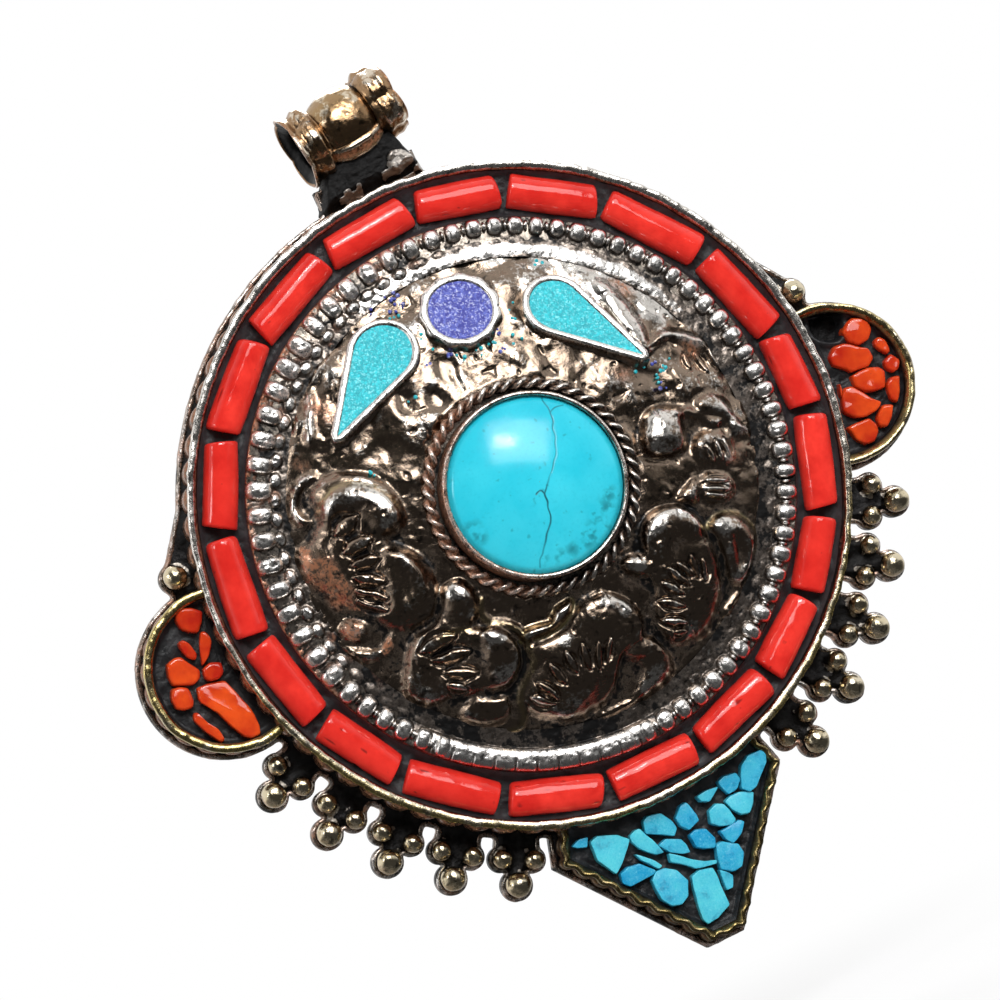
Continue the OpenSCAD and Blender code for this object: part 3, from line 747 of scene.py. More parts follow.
def crushed_stone(name, light, deep, dark, speck):
    """Stone chips and dust set in glue and ground flat."""
    material, tree, shader, place = patterned(name)
    cells = node(tree, "TexVoronoi", {"Vector": place, "Scale": 5.0})
    edges = node(tree, "TexVoronoi", {"Vector": place, "Scale": 5.0}, feature="DISTANCE_TO_EDGE")
    tone = node(tree, "SeparateColor", {0: cells.outputs["Color"]}).outputs[0]
    fine = grain(tree, place, 0.11, detail=2)
    worm = grain(tree, place, 0.20, detail=3, rough=0.6, warp=1.2)
    base = blend(tree, spread(tree, tone, 0.15, 0.85), light, deep)
    base = blend(tree, spread(tree, worm, 0.55, 0.62), base, speck)
    base = blend(tree, spread(tree, worm, 0.42, 0.36), base, deep)
    seam = spread(tree, edges.outputs["Distance"], 0.06, 0.015)
    base = blend(tree, times(tree, seam, 0.45), base, dark)
    base = blend(tree, spread(tree, fine, 0.32, 0.25), base, dark)
    dull = over_noise(tree, fine, 0.30, 0.50)
    height = plus(tree, edges.outputs["Distance"], worm)
    set_shader(tree, shader, base=base, rough=dull, normal=bump(tree, height, 0.05), level=0.4)
    return material


def chip_turquoise_material():
    material, tree, shader, place = patterned("chip_turquoise")
    cloud = grain(tree, place, 1.2, detail=4)
    fine = grain(tree, place, 0.14, detail=3)
    tone = plus(tree, times(tree, mark(tree, "shade"), 0.7), over_noise(tree, cloud, 0.0, 0.4))
    base = blend(tree, spread(tree, tone, 0.1, 0.9), colour(0.075, 0.53, 0.63), colour(0.004, 0.27, 0.50))
    # Pale whitish patches: partly the stone's own pale spots, partly painted sheen.
    base = blend(tree, spread(tree, fine, 0.58, 0.80, 0.0, 0.8), base, colour(0.20, 0.64, 0.70))
    base = blend(tree, spread(tree, cloud, 0.58, 0.72, 0.0, 0.6), base, colour(0.008, 0.13, 0.22))
    dull = over_noise(tree, fine, 0.20, 0.42)
    set_shader(tree, shader, base=base, rough=dull, normal=bump(tree, cloud, 0.05), level=0.45)
    return material


def paper_material():
    material, tree, shader, place = patterned("prayer_paper")
    cloud = grain(tree, place, 4.0, detail=5)
    fibre = grain(tree, scaled(tree, place, (0.4, 1.0, 2.5)), 0.3, detail=5, rough=0.7)
    base = blend(tree, over_noise(tree, cloud, 0.0, 1.0), colour(0.62, 0.48, 0.29), colour(0.44, 0.31, 0.16))
    base = blend(tree, spread(tree, fibre, 0.5, 0.8, 0.0, 0.5), base, colour(0.30, 0.20, 0.10))
    dull = over_noise(tree, fibre, 0.75, 0.95)
    set_shader(tree, shader, base=base, rough=dull, normal=bump(tree, fibre, 0.05))
    return material


def thread_material():
    material, tree, shader, place = patterned("red_thread")
    fibre = grain(tree, place, 0.12, detail=4, rough=0.7)
    frayed = over_noise(tree, fibre, 0.0, 1.0)
    base = blend(tree, frayed, colour(0.33, 0.015, 0.02), colour(0.52, 0.04, 0.04))
    dull = over_noise(tree, fibre, 0.7, 0.9)
    set_shader(tree, shader, base=base, rough=dull, normal=bump(tree, fibre, 0.04), sheen=0.2)
    return material


DOME_METAL = patinated("dome_bronze", BRONZE, SILVER, shine=0.14, low_at=0.32, high_at=0.80)
SILVER_METAL = patinated("rubbed_silver", colour(0.30, 0.26, 0.22), colour(0.80, 0.77, 0.73), shine=0.24)
RIM_METAL = patinated("rim_metal", colour(0.17, 0.125, 0.085), SILVER, shine=0.22)
GRANULE_METAL = patinated("granule_metal", colour(0.30, 0.22, 0.14), colour(0.76, 0.68, 0.54), shine=0.13,
                          low_at=0.18, high_at=0.60)
BAIL_METAL = patinated("bail_bronze", colour(0.35, 0.22, 0.12), colour(0.74, 0.64, 0.51), shine=0.15,
                       low_at=0.16, high_at=0.80)
TRIANGLE_METAL = patinated("triangle_brass", OLIVE, colour(0.34, 0.27, 0.15), shine=0.24)
GROUND_METAL = patinated("black_ground", colour(0.018, 0.017, 0.017), colour(0.42, 0.38, 0.33), shine=0.30,
                         grit=0.10, low_at=0.35, high_at=0.86)
TAB_METAL = patinated("black_filler", colour(0.020, 0.019, 0.019), colour(0.50, 0.46, 0.42), shine=0.42,
                      grit=0.12, low_at=0.35, high_at=0.84)
BEAD_METAL = patinated("bead_silver", colour(0.25, 0.21, 0.18), colour(0.82, 0.79, 0.76), shine=0.25,
                       low_at=0.30, high_at=0.60)
CUP_METAL = patinated("cup_bronze", colour(0.25, 0.18, 0.14), colour(0.78, 0.72, 0.66), shine=0.22,
                      low_at=0.34, high_at=0.80)
PLATE_METAL = aged_sheet("black_plate", colour(0.045, 0.042, 0.040), BLACK, shine=0.35, dent=0.08)
CASE_METAL = aged_sheet("case_silver", colour(0.42, 0.39, 0.35), colour(0.17, 0.14, 0.11), shine=0.28)
RESIN = resin_material()
CORAL = coral_material("coral", colour(0.80, 0.042, 0.028), colour(0.56, 0.018, 0.013))
CHIP_CORAL = coral_material("chip_coral", colour(0.72, 0.085, 0.012), colour(0.40, 0.016, 0.006), clear=0.18)
CABOCHON = cabochon_material()
INLAY_STONE = crushed_stone("crushed_turquoise", colour(0.020, 0.56, 0.64), colour(0.008, 0.38, 0.45),
                            colour(0.004, 0.10, 0.13), colour(0.22, 0.75, 0.80))
LAPIS_STONE = crushed_stone("crushed_lapis", colour(0.095, 0.125, 0.52), colour(0.028, 0.032, 0.28),
                            colour(0.008, 0.008, 0.07), colour(0.50, 0.53, 0.80))
CHIP_TURQUOISE = chip_turquoise_material()
PAPER = paper_material()
THREAD = thread_material()


# The dome's chased shapes, as pixels of the photograph

LEFT_SHELL = [(309, 494), (317, 481), (334, 472), (353, 472), (372, 475), (389, 486), (401, 501), (407, 517),
              (402, 532), (389, 540), (402, 545), (418, 553), (432, 570), (439, 588), (439, 605), (430, 621),
              (415, 628), (399, 630), (384, 624), (372, 615), (357, 608), (341, 601), (326, 593), (311, 584),
              (299, 575), (295, 559), (299, 549), (308, 543), (314, 529), (314, 510)]
LEFT_TOP = [(320, 504), (331, 490), (347, 484), (369, 486), (386, 494), (398, 506), (401, 518), (393, 530),
            (381, 535), (372, 532), (358, 517), (346, 512), (335, 520), (326, 532), (321, 520)]
LEFT_LOBE = [(381, 553), (398, 550), (412, 557), (423, 570), (428, 585), (426, 599), (418, 611), (404, 617),
             (392, 614), (386, 602), (384, 584), (380, 567)]
LEFT_SLITS = [(335, 535, 355, 517), (344, 553, 369, 539), (352, 566, 377, 558), (353, 578, 384, 582),
              (355, 591, 386, 599), (357, 600, 387, 611)]
LEFT_CURL = [(321, 474), (308, 474), (295, 484), (288, 501), (290, 518), (300, 528), (312, 525), (314, 518),
             (306, 517), (299, 509), (299, 497), (306, 486), (318, 479)]
LEFT_OVAL = [(308, 588), (312, 605), (321, 624), (332, 641), (350, 652), (369, 656), (384, 651), (394, 640),
             (396, 630)]
LEFT_BOSS = [(340, 628), (350, 620), (364, 622), (370, 632), (362, 642), (348, 642)]

LOW_TOP = [(441, 593), (448, 582), (461, 580), (474, 589), (480, 603), (478, 619), (467, 627), (452, 624),
           (442, 612)]
LOW_SHELL = [(442, 612), (433, 624), (417, 635), (409, 647), (406, 665), (403, 685), (412, 702), (433, 707),
             (451, 698), (476, 695), (494, 692), (500, 680), (498, 650), (490, 632), (479, 625), (464, 624)]
LOW_LOBE = [(480, 630), (496, 627), (510, 634), (521, 650), (521, 668), (513, 683), (498, 691), (488, 685),
            (483, 667), (479, 647)]
LOW_SLITS = [(421, 652, 454, 636), (432, 661, 470, 651), (444, 673, 477, 673), (447, 685, 467, 690)]
LOW_SCRAP = [(461, 716), (467, 703), (477, 696), (494, 696), (508, 695), (513, 707), (507, 720), (491, 726),
             (476, 725)]

STEM = [(482, 599), (483, 614), (491, 622), (507, 625), (522, 633), (530, 648), (535, 661), (529, 676),
        (522, 689), (521, 703), (525, 716), (520, 728), (508, 732)]
LEAF = [(523, 640), (527, 630), (540, 625), (552, 622), (555, 611), (565, 603), (573, 600), (571, 612),
        (562, 624), (549, 633), (537, 638)]

MIDDLE_SHELL = [(529, 652), (535, 642), (549, 636), (565, 627), (574, 611), (587, 598), (604, 592),
                (623, 596), (638, 608), (646, 624), (643, 642), (632, 652), (623, 658), (618, 673),
                (612, 692), (598, 707), (583, 719), (565, 722), (546, 718), (531, 713), (522, 701),
                (525, 685), (536, 670)]
MIDDLE_SLITS = [(531, 698, 554, 704), (538, 683, 558, 700), (549, 665, 565, 684), (565, 653, 576, 673),
                (581, 645, 589, 670), (597, 643, 599, 670), (610, 639, 606, 662)]
MIDDLE_LEAF = [(588, 672), (594, 676), (590, 690), (578, 704), (566, 718), (560, 714), (568, 700),
               (580, 686)]
SIDE_LOBE = [(624, 656), (632, 643), (645, 635), (660, 640), (671, 654), (675, 670), (666, 685), (651, 696),
             (636, 702), (632, 695), (640, 679), (641, 664)]
SIDE_RIDGE = [(644, 622), (637, 639), (623, 649), (617, 666), (614, 685), (603, 702), (595, 712)]
SIDE_FOOT = [(598, 715), (614, 712), (626, 704), (637, 702)]

RIGHT_SHELL = [(621, 565), (626, 556), (643, 551), (641, 535), (647, 518), (660, 507), (678, 505),
               (693, 511), (705, 526), (715, 544), (721, 565), (723, 587), (719, 611), (707, 633),
               (688, 643), (669, 642), (660, 627), (656, 606), (655, 588), (647, 578), (632, 575)]
RIGHT_TOP = [(643, 548), (642, 533), (648, 519), (661, 509), (678, 506), (693, 512), (703, 526), (699, 539),
             (684, 541), (672, 550), (664, 562), (652, 561)]
RIGHT_LOBE = [(709, 526), (718, 515), (734, 512), (748, 520), (758, 535), (760, 556), (754, 575), (743, 586),
              (730, 581), (724, 562), (718, 544)]
RIGHT_EYE = [(728, 535), (739, 532), (748, 544), (749, 562), (742, 575), (733, 565), (732, 550)]
RIGHT_SLITS = [(659, 601, 684, 607), (661, 621, 686, 623), (673, 633, 686, 632), (662, 583, 683, 594),
               (668, 569, 689, 585), (677, 564, 693, 576), (690, 556, 698, 578), (702, 560, 705, 581)]
RIGHT_BAND = [(758, 578), (742, 596), (730, 611), (724, 613)]

BULB = [(644, 425), (646, 414), (655, 407), (671, 405), (681, 409), (685, 423), (688, 438), (685, 450),
        (667, 457), (649, 454), (642, 440)]
BULB_CREST = [(674, 412), (688, 411), (703, 416), (714, 421), (726, 419), (739, 427), (752, 432)]
CURL = [(696, 400), (708, 393), (721, 396), (730, 405), (735, 414), (752, 429), (739, 425), (724, 417),
        (709, 414), (698, 411)]
FAN = [(694, 441), (704, 432), (721, 431), (733, 443), (735, 459), (724, 464), (707, 463), (696, 455)]
FAN_SLITS = [(706, 445, 715, 461), (715, 440, 723, 460), (723, 438, 731, 457)]
SMALL_FAN = [(701, 477), (718, 472), (733, 480), (734, 494), (721, 501), (704, 498)]
SMALL_SLITS = [(706, 480, 729, 480), (705, 488, 731, 489), (706, 494, 728, 496)]
FACET = [(679, 499), (690, 482), (698, 477), (699, 501)]
TOP_CREST = [(649, 352), (660, 337), (676, 334), (696, 341), (712, 339), (721, 348), (728, 361)]
TOP_SLITS = [(696, 352, 709, 371), (685, 353, 692, 368), (710, 348, 721, 367)]
DROP_BANK = [(592, 281), (609, 281), (629, 302), (644, 324), (652, 348), (643, 354), (626, 336), (608, 311)]
LEFT_STREAKS = [[(309, 333), (304, 360), (301, 388)], [(323, 327), (316, 355), (314, 382)],
                [(298, 391), (296, 415), (298, 434)], [(310, 392), (308, 420), (311, 446)]]
COPPER_FACES = [
    [(300, 546), (309, 548), (316, 559), (328, 561), (340, 571), (348, 582), (350, 598), (362, 608),
     (371, 614), (352, 609), (338, 603), (322, 590), (308, 578), (301, 564)],
    [(341, 627), (352, 622), (361, 628), (360, 638), (350, 640), (343, 634)],
    [(389, 634), (394, 640), (392, 650), (385, 656), (382, 648)],
]
# Round patches of the photograph: a middle and a radius, in pixels

PX_PER_MM = 14
# Sheen patches: painted highlights on the shoulders of the chased shapes, and a painted bright reflection
# over the dome's top. They also smooth the hammer work under them.
SHEEN_PATCHES = [((598, 262), 46), ((548, 242), 34), ((648, 306), 30), ((500, 246), 26), ((615, 290), 34),
                 ((668, 300), 22), ((360, 491), 15), ((384, 496), 13), ((455, 588), 12), ((497, 636), 10),
                 ((605, 597), 13), ((628, 606), 11), ((656, 519), 14), ((678, 510), 10), ((722, 524), 11),
                 ((656, 424), 14), ((640, 562), 10), ((565, 640), 9)]
COPPER_PATCHES = [((320, 572), 16), ((342, 596), 13), ((353, 630), 10), ((303, 462), 9), ((330, 690), 26),
                  ((595, 255), 16), ((625, 285), 14), ((690, 347), 12), ((625, 374), 10), ((578, 250), 12),
                  ((735, 450), 12), ((318, 410), 16)]
GOLD_LINES = [LEFT_TOP[:6], STEM, LEAF, [(441, 640), (452, 632), (470, 630)], RIGHT_LOBE[:6]]


class Relief:
    """The height of the chased shapes above the plain dome, built up one shape after another."""

    def __init__(self, u, v):
        self.shape = u.shape
        self.places = listed(u, v)
        self.height, self.warm, self.gold, self.sheen = np.zeros((4, len(self.places)))

    def near(self, line, reach):
        """Which places lie in the box round a line, with some reach beyond it."""
        low = line.min(axis=0) - reach
        high = line.max(axis=0) + reach
        return np.nonzero(((self.places > low) & (self.places < high)).all(axis=1))[0]

    def pillow(self, pixels, rise, edge, foot=0.0, groove=0.10, dish=0.0):
        """A round-edged shape that stands up by rise, with a chased line round it and a dished middle."""
        outline = smooth_line(on_dome(pixels), closed=True)
        some = self.near(outline, 0.6)
        depth = depth_inside(self.places[some], outline)
        inside = depth > 0
        self.height[some] -= groove * hump(depth + 0.10, 0.34)
        top = foot + rise * roundover(depth, edge) - dish * step_up(depth, 0.5 * edge, edge + 0.5)
        taller = inside & (top > self.height[some])
        self.height[some[taller]] = top[taller]

    def ridge(self, pixels, width, rise):
        """A round ridge along a line, thinner at its ends, with a fine chased line on either side."""
        line = smooth_line(on_dome(pixels))
        some = self.near(line, width + 0.5)
        d, along = line_distance(self.places[some], line)
        size = 1 - 0.5 * np.abs(2 * along - 1) ** 3
        self.height[some] -= 0.06 * hump(d - width * size - 0.12, 0.25)
        self.height[some] += rise * size * np.sqrt(np.clip(1 - (d / (width * size)) ** 2, 0, 1))

    def slits(self, lines, first, last, depth):
        """Ribs left standing between gouged grooves, from the first one's width to the last one's."""
        for (x0, y0, x1, y1), width in zip(lines, np.linspace(first, last, len(lines))):
            line = on_dome([(x0, y0), (x1, y1)])
            some = self.near(line, width * 3)
            d, along = line_distance(self.places[some], line)
            size = width * (1.0 - 0.7 * np.abs(2 * along - 1) ** 2.5)
            groove = depth * np.clip(1 - (d / (2.1 * size)) ** 2, 0, 1) ** 0.8
            rib = (depth + 0.16) * np.clip(1 - (d / (1.25 * size)) ** 2, 0, 1) ** 0.75
            self.height[some] += rib - groove

    def hollow(self, pixels, depth, edge):
        """A sunk shape with a low lip round it."""
        outline = smooth_line(on_dome(pixels), closed=True)
        some = self.near(outline, 0.4)
        inside = depth_inside(self.places[some], outline)
        self.height[some] -= depth * step_up(inside, 0, edge)
        self.height[some] += 0.08 * hump(inside + 0.15, 0.25)

    def soften(self, reach):
        self.height = blur_polar(self.height.reshape(self.shape), reach, reach).ravel()

    def paint(self, layer, pixel, radius):
        """Paints a soft round patch."""
        middle = on_dome([pixel])[0]
        d = np.hypot(*(self.places - middle).T)
        layer += np.clip(1.3 - d / radius, 0, 1) * (1 - layer)

    def fill(self, layer, pixels, edge):
        """Paints a patch with a torn edge."""
        outline = smooth_line(on_dome(pixels), closed=True)
        some = self.near(outline, 0.3)
        torn = 0.12 * ripples(flat(*self.places[some].T), 0.5, seed=27)
        inside = step_up(depth_inside(self.places[some], outline) + torn, 0, edge)
        layer[some] = np.maximum(layer[some], inside)

    def line_paint(self, layer, pixels, width):
        """Paints a soft line."""
        line = smooth_line(on_dome(pixels))
        some = self.near(line, width * 2)
        d, _ = line_distance(self.places[some], line)
        layer[some] = np.maximum(layer[some], hump(d, width))


BELOW_DISC_PX = (515, 900)


def upper_half(places):
    """One on the dome's upper half as the photograph shows it, and nothing on its lower half."""
    down = from_photo([BELOW_DISC_PX], SHOULDER_W)[0]
    down = down / np.hypot(*down)
    return step_up(-(places @ down), -3.0, 6.0)


def hammered(relief):
    """Uneven hammer work: broad and rough on the upper half, with a fine tooth all over."""
    points = flat(*relief.places.T)
    # The sheen layer, later painted bright as highlights, smooths the hammer work under it.
    for middle, size in SHEEN_PATCHES:
        relief.paint(relief.sheen, middle, size / PX_PER_MM)
    relief.sheen = np.clip(relief.sheen, 0, 1)
    upper = upper_half(relief.places) * (1 - 0.8 * relief.sheen)
    relief.height += (0.07 + 0.25 * upper) * ripples(points, 3.2, seed=3)
    relief.height += (0.05 + 0.08 * upper) * ripples(points, 1.1, seed=7)
    relief.height += upper * 0.28 * step_up(lumps(points, 2.3, seed=11), 0.05, 0.75)
    relief.height -= upper * 0.24 * step_up(lumps(points, 1.7, seed=12), 0.20, 0.70)


def toothed(relief):
    """Small scrapes and pits left all over the finished shapes."""
    points = flat(*relief.places.T)
    rubbed = step_up(lumps(points, 2.3, seed=29), -0.15, 0.45) * (1 - 0.5 * upper_half(relief.places))
    relief.height += 0.034 * ripples(points, 0.75, seed=13) + 0.040 * rubbed * lumps(points, 0.30, seed=17)
    relief.height -= 0.10 * step_up(lumps(points, 0.55, seed=19), 0.62, 0.9)


def chase(relief):
    """All of the dome's relief, in the order in which the shapes lie over each other."""
    hammered(relief)
    relief.pillow(LEFT_CURL, 0.65, 0.45)
    relief.ridge(LEFT_OVAL, 0.42, 0.50)
    relief.pillow(LEFT_BOSS, 0.50, 0.7)
    relief.pillow(LEFT_SHELL, 0.95, 2.2)
    relief.pillow(LEFT_TOP, 0.75, 1.6, foot=0.60)
    relief.pillow(LEFT_LOBE, 0.65, 1.2, foot=0.60, dish=0.45)

    relief.pillow(LOW_SHELL, 0.85, 1.3, dish=0.35)
    relief.pillow(LOW_TOP, 1.15, 1.7)
    relief.pillow(LOW_LOBE, 0.90, 1.4, foot=0.35, dish=0.20)
    relief.pillow(LOW_SCRAP, 0.60, 0.6)
    relief.ridge(STEM, 0.38, 0.50)

    relief.pillow(MIDDLE_SHELL, 1.15, 2.6)
    relief.pillow(LEAF, 0.40, 0.4, foot=0.40)
    relief.ridge(MIDDLE_LEAF, 0.25, 0.22)
    relief.pillow(SIDE_LOBE, 1.0, 1.7)
    relief.ridge(SIDE_RIDGE, 0.30, 0.42)
    relief.ridge(SIDE_FOOT, 0.30, 0.36)

    relief.pillow(RIGHT_SHELL, 1.0, 2.1, dish=0.10)
    relief.pillow(RIGHT_TOP, 0.75, 1.7, foot=0.60)
    relief.pillow(RIGHT_LOBE, 1.0, 1.5)
    relief.hollow(RIGHT_EYE, 0.50, 0.6)
    relief.ridge(RIGHT_BAND, 0.45, 0.42)

    relief.pillow(FAN, 0.60, 0.8)
    relief.pillow(BULB, 1.2, 2.0)
    relief.ridge(BULB_CREST, 0.40, 0.55)
    relief.pillow(CURL, 0.60, 0.5)
    relief.pillow(SMALL_FAN, 0.50, 0.5)
    relief.pillow(FACET, 0.55, 0.6)
    relief.ridge(TOP_CREST, 0.45, 0.60)
    relief.pillow(DROP_BANK, 0.60, 1.0, groove=0.04)
    for streak in LEFT_STREAKS:
        relief.ridge(streak, 0.38, 0.45)
    relief.soften(2)
    relief.slits(LEFT_SLITS, 0.56, 0.30, 0.50)
    relief.slits(LOW_SLITS, 0.46, 0.32, 0.48)
    relief.slits(MIDDLE_SLITS, 0.32, 0.26, 0.46)
    relief.slits(RIGHT_SLITS, 0.30, 0.26, 0.42)
    relief.slits(FAN_SLITS, 0.22, 0.22, 0.32)
    relief.slits(SMALL_SLITS, 0.19, 0.19, 0.28)
    relief.slits(TOP_SLITS, 0.26, 0.26, 0.34)
    for middle, size in COPPER_PATCHES:
        relief.paint(relief.warm, middle, size / PX_PER_MM)
    relief.warm *= 0.75 + 0.9 * ripples(flat(*relief.places.T), 1.1, seed=23)
    for face in COPPER_FACES:
        relief.fill(relief.warm, face, 0.08)
    for line in GOLD_LINES:
        relief.line_paint(relief.gold, line, 0.35)
    toothed(relief)


def blur_polar(values, across, along):
    """Evens out values on a grid of rows round a circle."""
    out = values.copy()
    for _ in range(2):
        total = sum(np.roll(out, k, axis=0) for k in range(-across, across + 1))
        out = total / (2 * across + 1)
        padded = np.pad(out, ((0, 0), (along, along)), mode="edge")
        total = sum(padded[:, k:k + out.shape[1]] for k in range(2 * along + 1))
        out = total / (2 * along + 1)
    return out


WEAR_REACH = 9
WEAR_GAIN = 0.9


def wear(height):
    """How much each place stands out from what is round it: 0 in hollows, 1 on crests."""
    return np.clip(0.5 + WEAR_GAIN * (height - blur_polar(height, WEAR_REACH, WEAR_REACH)), 0, 1)


DOME_STEPS = 960
DOME_RINGS = 104
LINING_STEPS = 192
DOME_UNDER_ROPE = 0.9
SKIRT_EDGE = 0.15


def dome_pieces():
    """The chased sheet over the CAD dome's place, and its plain inside with the skirt."""
    r = np.linspace(SEAT_R - DOME_UNDER_ROPE, DOME_R + 0.05, DOME_RINGS)
    u, v = ring_places(all_round(DOME_STEPS), r)
    relief = Relief(u, v)
    chase(relief)
    height = relief.height.reshape(u.shape)
    fade = step_up(r, SEAT_R - 0.35, SEAT_R + 0.3) * step_up(DOME_R - r, -0.1, 0.55)
    height = height * fade
    level = np.minimum(dome_w(r), SEAT_W + 0.02)
    warm = np.clip(relief.warm.reshape(u.shape), 0, 0.95)
    gold = 0.30 * relief.gold.reshape(u.shape)
    upper = upper_half(relief.places).reshape(u.shape)
    sheen = relief.sheen.reshape(u.shape)
    # Raised on crests as wear, lighter over the dome's upper half and much lighter on the sheen patches:
    # painted highlights and a painted reflection of the light above.
    worn = np.clip(wear(height) + 0.13 * upper + 0.40 * sheen, 0, 1)
    form = Form()
    form.grid(raised(u, v, level + height), close_rows=True, worn=worn, warm=warm, gold=gold)
    dome = form.object("dome_skin", DOME_METAL, outward=False)
    form = Form()
    inner = DOME_R * np.linspace(0.02, 0.98, 24)
    skirt = [
        (SKIRT_R - DOME_WALL, SHOULDER_W - DOME_WALL), (SKIRT_R - DOME_WALL, PLATE_T), (SKIRT_R, PLATE_T),
        (SKIRT_R, SHOULDER_W - SKIRT_EDGE), (SKIRT_R - SKIRT_EDGE, SHOULDER_W), (DOME_R, SHOULDER_W),
    ]
    r, w = np.vstack([np.column_stack([inner, np.minimum(dome_w(inner), SEAT_W) - DOME_WALL]), skirt]).T
    form.grid(ring_points(all_round(LINING_STEPS), r, w), close_rows=True, worn=0.35)
    lining = form.object("dome_lining", SILVER_METAL, outward=False)
    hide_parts("dome")


# The beaded ring: round beads with small reels between them. At the left the beads are longer and a row
# of knots runs inside them. At the top a ledge rises inside them. At the bottom they close up to a band.

BEAD_COUNT = 75
BEAD_STEPS = 1800
BEAD_RINGS = 48
BEAD_H = 0.66
BEAD_SHOULDER = 0.42
REEL_H = 0.46
BAND_HALF = 0.84
KNOT_R = DOME_R + 0.45
KNOT_COUNT = BEAD_COUNT * 1.07
LEDGE_R = DOME_R + 0.10
RING_LAP = 0.45
RING_SINK = 0.2
RING_BOTTOM_PX = (545, 765)
RING_LEFT_PX = (262, 440)
RING_TOP_PX = (510, 225)


def around(turn, pixel, height, half, soft):
    """One within half a span, in degrees, of a pixel's direction, falling to nothing over a soft edge."""
    u, v = from_photo([pixel], height)[0]
    off = np.abs((turn - math.degrees(math.atan2(-u, v)) + 180) % 360 - 180)
    return step_up(half + soft - off, 0, soft)


def full_round(x):
    """A bead's height: steep at its edge, where x is one, and almost level over its middle."""
    return BEAD_H * np.clip(1 - x, 0, 1) ** BEAD_SHOULDER


def bead_ring_piece():
    turn = all_round(BEAD_STEPS)
    inner_r = DOME_R - RING_LAP
    r = np.linspace(inner_r, SKIRT_R, BEAD_RINGS)
    u, v = ring_places(turn, r)
    points = flat(u, v)
    bottom = around(turn, RING_BOTTOM_PX, SHOULDER_W, 14, 22)[:, None]
    left = around(turn, RING_LEFT_PX, SHOULDER_W, 45, 25)[:, None]
    crown = around(turn, RING_TOP_PX, SHOULDER_W, 32, 18)[:, None]

    pitch = 1 + 0.20 * left[:, 0]
    phase = np.cumsum(1 / pitch)
    phase = phase / phase[-1] * BEAD_COUNT
    off = (phase - np.round(phase)) * 360 / BEAD_COUNT * pitch
    lot = np.round(phase).astype(int) % BEAD_COUNT
    size = 1 + 0.10 * corner_noise(np.stack([lot, lot * 3, lot * 7], axis=-1), 9)[:, None]
    along = np.radians(off)[:, None] * r
    half = BEAD_R * (0.96 + 0.10 * left) * size
    reach = 0.80 + 0.18 * left - 0.14 * crown
    middle = SKIRT_R - BAND_HALF - 0.10 * left + 0.14 * crown
    beads = full_round(np.abs(along / half) ** 2.8 + np.abs((r - middle) / reach) ** 2.6)

    between = np.radians(np.abs(off) - 180 / BEAD_COUNT * pitch)[:, None] * r
    reel = np.clip(1 - (between / 0.15) ** 2 - ((r - middle) / 0.40) ** 2, 0, 1) * (1 - left)
    beads = np.maximum(beads, REEL_H * np.sqrt(reel))

    ragged = 0.5 + 0.5 * lumps(points, 0.8, seed=24)
    cuts = (0.22 + 0.30 * ragged) * hump(between, 0.10) * step_up(r, middle - 0.15, middle + 0.45)
    band = full_round(np.abs((r - middle) / BAND_HALF) ** 2.6) - cuts
    beads = np.maximum(beads, band * bottom)

    phase = turn / 360 * KNOT_COUNT
    along = np.radians((phase - np.round(phase)) * 360 / KNOT_COUNT)[:, None] * r
    knots = np.clip(1 - (along / 0.62) ** 2 - ((r - KNOT_R) / 0.48) ** 2, 0, 1)
    knots = (0.10 + 0.26 * left) * np.sqrt(knots) * (1 - bottom)

    ledge = crown * hump(r - LEDGE_R, 0.85)
    ramp = np.interp(r, [inner_r, SKIRT_R - 1.75], [float(dome_w(inner_r)) - SHOULDER_W + 0.03, 0.0])
    ramp = ramp + 0.15 * ledge * (0.8 + 0.3 * lumps(points, 1.6, seed=28))
    height = np.maximum(np.maximum(beads, knots), ramp)
    height = height + (0.040 + 0.03 * left) * ripples(points, 0.45, seed=21)
    height[:, -1] = -RING_SINK
    height = np.clip(height, -RING_SINK, BEAD_TOP - SHOULDER_W + 0.03)

    shown = np.maximum(beads, knots * 1.2)
    # Bead crests get a high mark as rubbed wear and as painted highlights. The ledge at the top is painted
    # bright as a highlight where it faces the light.
    ground = 0.24 + 0.70 * ledge + 0.20 * lumps(points, 0.9, seed=26)
    worn = np.where(shown > ramp, 0.30 + 0.75 * step_up(shown, 0.20, 0.52), ground)
    outer_end = step_up(r, SKIRT_R - 0.55, SKIRT_R - 0.15)
    warm = left * (0.9 * outer_end + 0.5 * step_up(lumps(points, 0.9, seed=4), 0.3, 0.7))
    form = Form()
    form.grid(raised(u, v, SHOULDER_W + height), close_rows=True, worn=np.clip(worn, 0, 1),
              warm=np.clip(warm, 0, 0.95))
    ring = form.object("bead_row", BEAD_METAL, outward=False)
    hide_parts("beaded_ring")


# The rim bezel, its channel and the coral tubes

RIM_FLUTES = 76
FLUTE_STEPS = 18
FLUTE_DEPTH = 0.42
FLUTE_SHARPNESS = 1.9
RIM_TOP_PX = (520, 160)
RIM_LOW_PX = (600, 820)
RIM_BRASS_PX = (640, 815)

# Which rows of the rim's section are what
RIM_SIDE = slice(0, 5)
RIM_BUMPS = slice(1, 5)
RIM_CREST = slice(7, 11)
RIM_CREST_END = slice(11, 13)
RIM_INNER_EDGE = slice(12, 14)


def fluting(run, pitch):
    """Round bumps with sharp hollows between them, from 0 to 1."""
    t = run / pitch - np.round(run / pitch)
    return np.sqrt(np.clip(1 - (t * FLUTE_SHARPNESS) ** 2, 0, 1))


